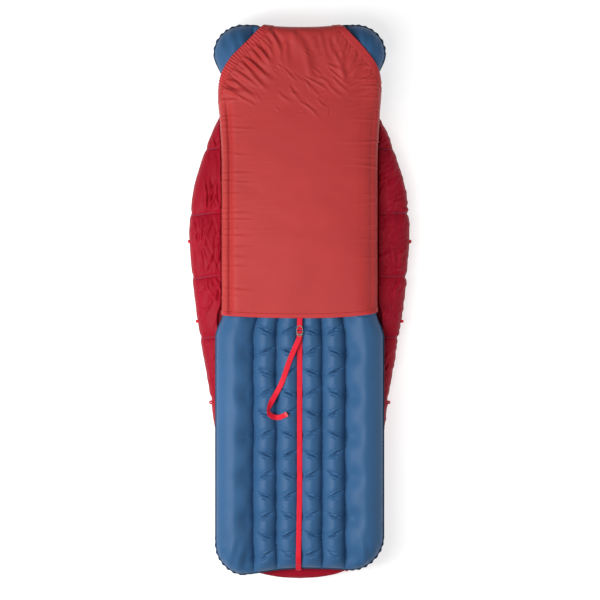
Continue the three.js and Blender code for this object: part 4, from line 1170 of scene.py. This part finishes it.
def hood_paths(count):
    """Matching points round the face opening and the hood's outline, from the left neck to the right."""
    inner, outer = [], []
    loop = np.concatenate([SIDE * (-1, 1), SIDE[::-1]])
    loop = loop[loop[:, 1] > FACE_LOW - 0.01]
    angles = np.arctan2(loop[:, 1] - FACE_TOP, loop[:, 0])
    for value in np.linspace(0, 1, count):
        if FACE_LEG < value < 1 - FACE_LEG:
            angle = math.pi * (1 - (value - FACE_LEG) / (1 - 2 * FACE_LEG))
            inner.append((FACE_HALF * math.cos(angle), FACE_TOP + FACE_HALF * math.sin(angle)))
            gap = np.abs(np.angle(np.exp(1j * (angles - angle))))
            outer.append(loop[gap.argmin()])
        else:
            side = -1 if value <= FACE_LEG else 1
            part = value / FACE_LEG if side < 0 else (1 - value) / FACE_LEG
            y = FACE_LOW + (FACE_TOP - FACE_LOW) * part
            inner.append((side * FACE_HALF, y))
            outer.append((side * half_width(y), y))
    return np.array(inner), np.array(outer)


def make_rim():
    """The padded rim round the face opening, with its drawcord channel."""
    inner, outer = hood_paths(220)
    soften(outer, 3)
    span = unit(outer - inner)
    inner, outer = inner + span * 0.6 * MM, outer - span * 0.5 * MM
    width = np.linalg.norm(outer - inner, axis=1)
    centre = (inner + outer) / 2
    place = np.concatenate([[0], np.cumsum(np.linalg.norm(np.diff(centre, axis=0), axis=1))])
    from_crease = 1 - np.abs((place / RIM_CREASE) % 1 - 0.5) * 2
    swell = 0.86 + 0.14 * smooth(from_crease, 0.0, 0.35)
    around = np.linspace(0, 2 * math.pi, 40, endpoint=False)
    across = 0.5 - 0.5 * squared(np.cos(around), 0.55)
    up = squared(np.sin(around), 0.6)
    mid_z = (SEAM_Z - 1 * MM) / 2
    rings = []
    for i in range(len(inner)):
        plan = inner[i] + (outer[i] - inner[i]) * across[:, None]
        wrinkle = 1.2 * MM * wander(place[i] / 0.014, across * width[i] / 0.03, 81)
        z = mid_z + (mid_z - 1.2 * MM) * up * np.where(up < 0, swell[i], 1.0) + np.where(up < 0, wrinkle, 0)
        rings.append(np.column_stack([plan, z]))
    rim = loft("hood_rim", np.array(rings)[:, ::-1], [LOOKS["shell"]])
    finish_piece(rim, "bag", "shell_fabric", "hood_rim_shell", "hood_rim_insulation")
    lip = np.column_stack([inner + span * 4 * MM, np.full(len(inner), 4.5 * MM)])
    return lip[2:-2], 1 + 0.16 * np.sin(place[2:-2] * 2 * math.pi / 0.012)


def make_hood():
    lip, gathers = make_rim()
    x, y, depth = quilt_grid(NECK_Y + PLY_GAP, HEAD_TIP, HOOD_COLUMNS)
    high = np.minimum(top_height(x, y, depth), TROUGH_Z + 0.3 * MM)
    back = pad_side_shell("hood_back", x, y, depth, high, HOOD_CAVITY_Z, HOOD_WALL)
    finish_piece(back, "bag", "shell_fabric", "hood_back_shell", "hood_back_insulation", "hood_lining")

    low, high = (np.array(corner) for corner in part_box("draft_collar"))
    path = np.tile((low + high) / 2, (90, 1))
    path[:, 0] = np.linspace(low[0], high[0], len(path))
    ends = round_rise(np.minimum(path[:, 0] - low[0], high[0] - path[:, 0]) + 1 * MM, 0.012)
    puckers = 1 - 0.06 * np.abs(np.sin(path[:, 0] * math.pi / COLLAR_GATHER))
    collar = tube("collar_tube", path, COLLAR_RADIUS * ends * puckers, LOOKS["lining"], 20)
    finish_piece(collar, "bag", "lining_fabric", "draft_collar")

    channel = tube("hood_drawcord_channel", lip, 4.2 * MM * gathers, LOOKS["shell"], 10)
    finish_piece(channel, "bag", "shell_fabric")


# ---------------------------------------------------------------- quilting, edge seam and loops
def surface_line(xs, ys, height_of, lift):
    """Points just off the quilt along a line across it."""
    rows = np.arange(FOOT_TIP, HEAD_TIP, 4 * MM)
    outline = np.concatenate([np.stack([side * half_width(rows), rows], -1) for side in (-1, 1)])
    depth = edge_depth(xs, ys, outline)
    return over_plan(xs, ys, height_of(xs, ys, depth) + lift)


def make_quilting():
    """The sewn lines across the quilt, on its pad side beside the pad and on its floor side."""
    upper, lower = [], []
    for line in QUILT_LINES[:-1]:
        reach = half_width(line) - 4 * MM
        for side in (-1, 1):
            if reach > TROUGH_HALF + 0.01:
                xs = np.linspace(side * (TROUGH_HALF + 1 * MM), side * reach, 60)
                upper.append(surface_line(xs, line - quilt_bend(xs), top_height, 0.7 * MM))
        xs = np.linspace(-reach + 0.03, reach - 0.03, 260)
        ys = line - quilt_bend(xs)
        across, _ = zip_offset(xs, ys)
        for part in (xs < ZIP_FOOT[0] - 0.01, xs > ZIP_HEAD[0] + 0.02):
            keep = part & (across > 0.024)
            if keep.sum() > 8:
                lower.append(surface_line(xs[keep], ys[keep], floor_height, -0.2 * MM))
    above = stitches("quilting_stitches_pad_side", upper, LOOKS["thread"], 4.0, 3.9, 0.9)
    finish_piece(above, "bag", "shell_fabric")
    below = stitches("quilting_stitches_floor_side", lower, LOOKS["thread"], 6, 4.6, 0.5)
    finish_piece(below, "bag", "shell_fabric")

    rows = resample(SIDE, 4 * MM)[:, 1]
    right, left = (np.column_stack([side * edge_reach(rows, side), rows]) for side in (1, -1))
    loop = np.concatenate([right, left[::-1]])
    path = np.column_stack([loop, np.full(len(loop), SEAM_Z + 0.2 * MM)])
    seam = tube("edge_seam", path, 1.7 * MM, LOOKS["shell"], 8, closed=True)
    finish_piece(seam, "bag", "shell_fabric")


LOOP_INSET, LOOP_SPAN, LOOP_REACH = 6.5 * MM, 4.2 * MM, 7.5 * MM
LOOP_WIDTH, LOOP_THICK = 7.5 * MM, 1.1 * MM
LOOP_LEAN, LEAN_VARIATION = 0.95, 0.3


def make_loops():
    """Small webbing loops in the edge seam, each twisted a little."""
    names = [f"side_loop_{side}_{i}" for side in ("left", "right") for i in (1, 2, 3)]
    names += ["foot_loop_left", "foot_loop_right"]
    angles = np.linspace(-0.15, math.pi + 0.15, 26)[:, None]
    for number, name in enumerate(names):
        low, high = (np.array(corner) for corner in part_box(name))
        middle = (low + high) / 2
        outward = np.array([math.copysign(1.0, middle[0]), 0, 0])
        if name.startswith("foot"):
            outward = unit(np.array([math.copysign(0.36, middle[0]), -0.93, 0]))
        level = np.array([-outward[1], outward[0], 0])
        lean = LOOP_LEAN + LEAN_VARIATION * math.sin(number * 2.1)
        along = level * math.cos(lean) + np.array([0, 0, math.sin(lean)])
        side = np.array([0, 0, math.cos(lean)]) - level * math.sin(lean)
        root = middle - outward * LOOP_INSET
        path = root + along * LOOP_SPAN * np.cos(angles) + outward * (LOOP_REACH * np.sin(angles) + 1 * MM)
        sides = np.tile(side, (len(path), 1))
        loop = ribbon(f"{name}_webbing", path, sides, LOOP_WIDTH, LOOP_THICK, LOOKS["webbing"])
        finish_piece(loop, "bag", "webbing", name)


# ---------------------------------------------------------------- strap, buckle and tail
WEBBING_WIDTH, WEBBING_THICK = 16 * MM, 1.2 * MM
BUCKLE_LOW, BUCKLE_HIGH = (np.array(corner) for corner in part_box("ladder_buckle"))
BUCKLE_MIDDLE = (BUCKLE_LOW + BUCKLE_HIGH) / 2
BUCKLE_WALL = 1.3 * MM
FRAME_HALF_HEIGHT, FRAME_BOW = 1.65 * MM, 0.4 * MM
BAR_HALF, BAR_RADIUS = 9.8 * MM, 1.1 * MM
HEAD_BAR_Y, GRIP_BAR_Y, LIP_BAR_Y = -0.0821, -0.0905, -0.0975
LIP_RADIUS, LIP_BOW = 1.9 * MM, 1.2 * MM
TURN_RADIUS = BAR_RADIUS + WEBBING_THICK / 2 + 0.6 * MM
STRAP_DRIFT = 4 * MM  # how far to the left the strap's foot end lies
LAST_SPACING = 5 * MM
EDGE_GAP, EDGE_HALF = 5.2 * MM, 6 * MM  # how the strap clears the weld at the pad's foot end
NEAR_EDGE = 7.5 * MM  # from the middle of the webbing to just inside its edge
# The first share of the tail, beside the buckle, stays at least this high.
LEVEL_SHARE, LEVEL_Z = 0.16, 0.1696
UNDER_PAD_Z = 0.0795
# How the strap's sewn end lies under the pad: (how far in from the pad's foot end, height).
FOOT_TUCK = [(0.022, 0.0786), (0.036, 0.0780), (0.060, 0.0779)]
# The tail's way over the pad from the buckle to its sewn end, in millimetres.
TAIL_ROUTE = [
    (0, -99), (-2, -112), (-9, -128), (-18, -148), (-33, -185), (-45, -220), (-57, -251), (-72, -280),
    (-86, -305), (-94, -324), (-94, -338), (-84, -349), (-70, -353), (-56, -351), (-44, -345),
]


def strap_line(ys):
    """Height of the strap's underside: it spans the dips between the pad's pinches."""
    touching = np.maximum(*(pad_top(np.full_like(ys, x), ys) for x in (-NEAR_EDGE, NEAR_EDGE)))
    spanned = touching.copy()
    for shift in range(1, 9):
        spanned = np.maximum(spanned, np.maximum(np.roll(touching, shift), np.roll(touching, -shift)))
    return soften(spanned, 12)


def level_ribbon(name, path, thick=WEBBING_THICK):
    """A strip of the strap's webbing that lies level across x."""
    return ribbon(name, path, np.tile([1.0, 0, 0], (len(path), 1)), WEBBING_WIDTH, thick, LOOKS["webbing"])


def pad_end_section(x, spacings):
    """The pad's foot end in the strap's plane: (y, height above the weld) at distances from the end."""
    ys = FOOT_END + np.asarray(spacings)
    heights = [pad_height(np.full_like(ys, x + offset), ys, detail=False) for offset in (-0.008, 0, 0.008)]
    return ys + end_shift(np.full_like(ys, x), ys), np.max(heights, axis=0)


def make_strap():
    """The long strap over the pad, round its foot end, and back under it to the bag."""
    ys = np.linspace(HEAD_BAR_Y - 6 * MM, FOOT_END + 0.055, 240)
    drift = -STRAP_DRIFT * smooth(-ys, 0.55, 0.82)
    zs = strap_line(ys) + WEBBING_THICK / 2 + 0.3 * MM
    run = np.column_stack([drift, ys, zs])
    x = drift[-1]
    gap = WEBBING_THICK / 2 + 0.6 * MM
    section_y, section_h = pad_end_section(x, [0.036, 0.022, 0.012, LAST_SPACING])
    over = [(x, y, min(PAD_MIDDLE + h + gap, zs[-1])) for y, h in zip(section_y, section_h)]
    weld_y = section_y[-1] - LAST_SPACING - EDGE_GAP - gap
    edge = [(x, weld_y, PAD_MIDDLE + EDGE_HALF), (x, weld_y, PAD_MIDDLE - EDGE_HALF)]
    under = [(x, y, PAD_MIDDLE - h - gap) for y, h in zip(section_y[::-1], section_h[::-1])]
    path = np.vstack([run, curve_through(np.vstack([run[-1], over, edge, under]))[1:]])
    path = resample(path, 3 * MM)
    strap = level_ribbon("strap_over_pad", path)
    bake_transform(strap)
    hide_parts("strap_run")

    last_y, last_z = path[-1, 1], path[-1, 2]
    tuck = [(0, last_z), (0.010, max(last_z - 5 * MM, UNDER_PAD_Z)), *FOOT_TUCK]
    tuck = [(x, last_y - 0.6 * MM + inward, z) for inward, z in tuck]
    foot = level_ribbon("strap_foot_end", resample(curve_through(tuck), 1.5 * MM))
    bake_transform(foot)


def bar_turn(bar_y):
    """A path that rises from below on the head side of a crossbar, turns over it and goes down again."""
    angles = np.linspace(-0.35, math.pi + 0.35, 22)
    ys = bar_y + TURN_RADIUS * np.cos(angles)
    zs = BUCKLE_MIDDLE[2] + TURN_RADIUS * np.sin(angles)
    return resample(np.column_stack([np.zeros_like(ys), ys, zs]), 0.6 * MM)


def make_buckle():
    """The ladder buckle: an oval frame with three crossbars, and the webbing that turns over two of them."""
    z = BUCKLE_MIDDLE[2]
    half = (BUCKLE_HIGH - BUCKLE_LOW) / 2 - BUCKLE_WALL
    angles = np.linspace(0, 2 * math.pi, 96, endpoint=False)
    path = np.column_stack([
        (half[0] - BUCKLE_WALL) * squared(np.cos(angles), 0.85),
        BUCKLE_MIDDLE[1] + half[1] * squared(np.sin(angles), 0.9),
        z + FRAME_BOW * np.cos(2 * angles),
    ])
    side, _ = crosswise(along_loop(path))
    ring = np.linspace(0, 2 * math.pi, 12, endpoint=False)[None, :, None]
    up = np.array([0, 0, FRAME_HALF_HEIGHT]) * squared(np.sin(ring), 0.7)
    rings = path[:, None] + side[:, None] * BUCKLE_WALL * squared(np.cos(ring), 0.7) + up
    outer_frame = loft("buckle_frame", rings, [LOOKS["buckle"]], closed=True)
    finish_piece(outer_frame, "buckle", "plastic", "ladder_buckle")
    bars = [
        ("head", HEAD_BAR_Y, BAR_RADIUS, 0),
        ("grip", GRIP_BAR_Y, BAR_RADIUS, 0),
        ("lip", LIP_BAR_Y, LIP_RADIUS, LIP_BOW),
    ]
    for name, y, radius, bow in bars:
        xs = np.linspace(-BAR_HALF, BAR_HALF, 24)
        line = np.column_stack([xs, y - bow * (1 - (xs / BAR_HALF) ** 2), np.full_like(xs, z)])
        finish_piece(tube(f"buckle_{name}_bar", line, radius, LOOKS["buckle"]), "buckle", "plastic")

    grip = level_ribbon("strap_grip_turn_webbing", bar_turn(GRIP_BAR_Y))
    finish_piece(grip, "buckle", "webbing", "strap_grip_turn")
    anchor_turn = level_ribbon("strap_anchor_turn_webbing", bar_turn(HEAD_BAR_Y))
    finish_piece(anchor_turn, "bag", "webbing", "strap_anchor_turn")

    hem = sleeve_point(np.array([0.0]), np.array([0.008]), -1.2 * MM)[0]
    route = [
        (0, hem[1], hem[2]),
        (0, hem[1] - 0.008, hem[2] - 0.0006),
        (0, -0.062, z + 0.0006),
        (0, -0.070, z - 0.0012),
        (0, -0.0775, z - 0.0028),
        (0, -0.0815, z - 0.0030),
    ]
    route = resample(curve_through(route), 1 * MM)
    anchor = level_ribbon("strap_anchor_webbing", route, 2 * WEBBING_THICK)
    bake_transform(anchor)
    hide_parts("strap_anchor")


def make_tail():
    """The strap's free end, lying over the pad's chambers and bending back on itself."""
    plan = resample(curve_through(np.array(TAIL_ROUTE) * MM), 2.5 * MM)
    forward = along_path(plan)
    side = np.column_stack([forward[:, 1], -forward[:, 0]])
    heights = []
    for offset in (-NEAR_EDGE, 0, NEAR_EDGE):
        point = plan + side * offset
        heights.append(pad_top(point[:, 0], point[:, 1]))
    z = np.max(heights, axis=0)
    for _ in range(24):
        z = np.maximum(soften(z.copy()), z - 0.4 * MM)
    place = np.linspace(0, 1, len(z))
    z = z + 1.2 * MM
    z = np.where(place < LEVEL_SHARE, np.maximum(z, LEVEL_Z), z)
    z = soften(z + 3.5 * MM * hill(place - 0.80, 0.10), 10)
    roll = 0.95 * hill(place - 0.79, 0.055) - 0.25 * hill(place - 0.55, 0.12)
    path = np.column_stack([plan, z + NEAR_EDGE * np.abs(np.sin(roll))])
    across = np.column_stack([side * np.cos(roll)[:, None], np.sin(roll)])
    tail = ribbon("strap_tail_webbing", path, across, WEBBING_WIDTH, WEBBING_THICK, LOOKS["webbing"])
    finish_piece(tail, "bag", "webbing", "strap_tail")

    end, direction = path[-1], unit(path[-1] - path[-3])
    fold = np.array([end + direction * t for t in (-0.001, 0.003, 0.006, 0.0085)])
    sides = np.tile(across[-1], (len(fold), 1))
    fold_width, fold_thick = 1.02 * WEBBING_WIDTH, 2.4 * WEBBING_THICK
    tab = ribbon("strap_tail_end_fold", fold, sides, fold_width, fold_thick, LOOKS["webbing_end"])
    finish_piece(tab, "bag", "webbing", "strap_tail_end")
    above = end + direction * 1.5 * MM + np.array([0, 0, 1.6 * MM])
    sewn = np.array([above + across[-1] * reach for reach in (-6 * MM, 6 * MM)])
    bar = stitches("strap_tail_end_stitches", [sewn], LOOKS["hem_thread"], 2, 1.7, 0.25)
    finish_piece(bar, "bag", "webbing")


# ---------------------------------------------------------------- zip
TOOTH_PITCH, TOOTH_LENGTH = 2.1 * MM, 1.3 * MM
BARE_END = 6 * MM  # the length of tape beyond the last tooth
TOOTH_PROFILE = [(0.8 * MM, -1.1 * MM), (2.8 * MM, -1.3 * MM), (2.9 * MM, 1.3 * MM), (0.8 * MM, 1.1 * MM)]


def make_zip():
    """Replaces the zip's plain coils with rows of teeth."""
    head = np.array([*ZIP_HEAD, 0.0])
    onward = np.array([*ZIP_ONWARD, 0.0])
    across = np.array([-onward[1], onward[0], 0.0])
    low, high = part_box("zip_coil_left")
    z = (low[2] + high[2]) / 2
    for side, sign, shift in (("left", -1, TOOTH_PITCH / 2), ("right", 1, 0.0)):
        points, faces = [], []
        for i, place in enumerate(np.arange(BARE_END, ZIP_LENGTH - BARE_END, TOOTH_PITCH)):
            for step in (0.0, TOOTH_LENGTH):
                root = head + onward * (place + shift + step)
                points += [root + across * sign * x + np.array([0, 0, z + dz]) for x, dz in TOOTH_PROFILE]
            s = i * 8
            faces += [(s, s + 1, s + 2, s + 3), (s + 7, s + 6, s + 5, s + 4)]
            faces += [(s + k, s + 4 + k, s + 4 + (k + 1) % 4, s + (k + 1) % 4) for k in range(4)]
        coil = make_object(f"zip_teeth_{side}", points, faces, [LOOKS["coil"]], shade_smooth=False)
        if sign > 0:
            coil.data.flip_normals()
        finish_piece(coil, "bag", "zip_tape", f"zip_coil_{side}")


# ---------------------------------------------------------------- CAD pieces that stay
PAINTED = {
    "metal": [
        "zip_head_stop", "zip_head_slider", "zip_head_pull",
        "zip_foot_stop", "zip_foot_slider", "zip_foot_pull",
        "hood_eyelet_left", "hood_eyelet_right",
    ],
    "tape": ["zip_tape_left", "zip_tape_right"],
    "valve": ["valve_base", "valve_cap", "valve_plug"],
    "lining": ["draft_tube"],
}


def repaint():
    """Gives every CAD node that still shows its material."""
    for look, nodes in PAINTED.items():
        for node in nodes:
            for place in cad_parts[node].material_slots:
                place.material = LOOKS[look]


make_camera()
make_stage()
make_tail()
make_strap()
make_buckle()
make_pad()
make_sleeve()
make_body()
make_hood()
make_quilting()
make_loops()
make_zip()
repaint()
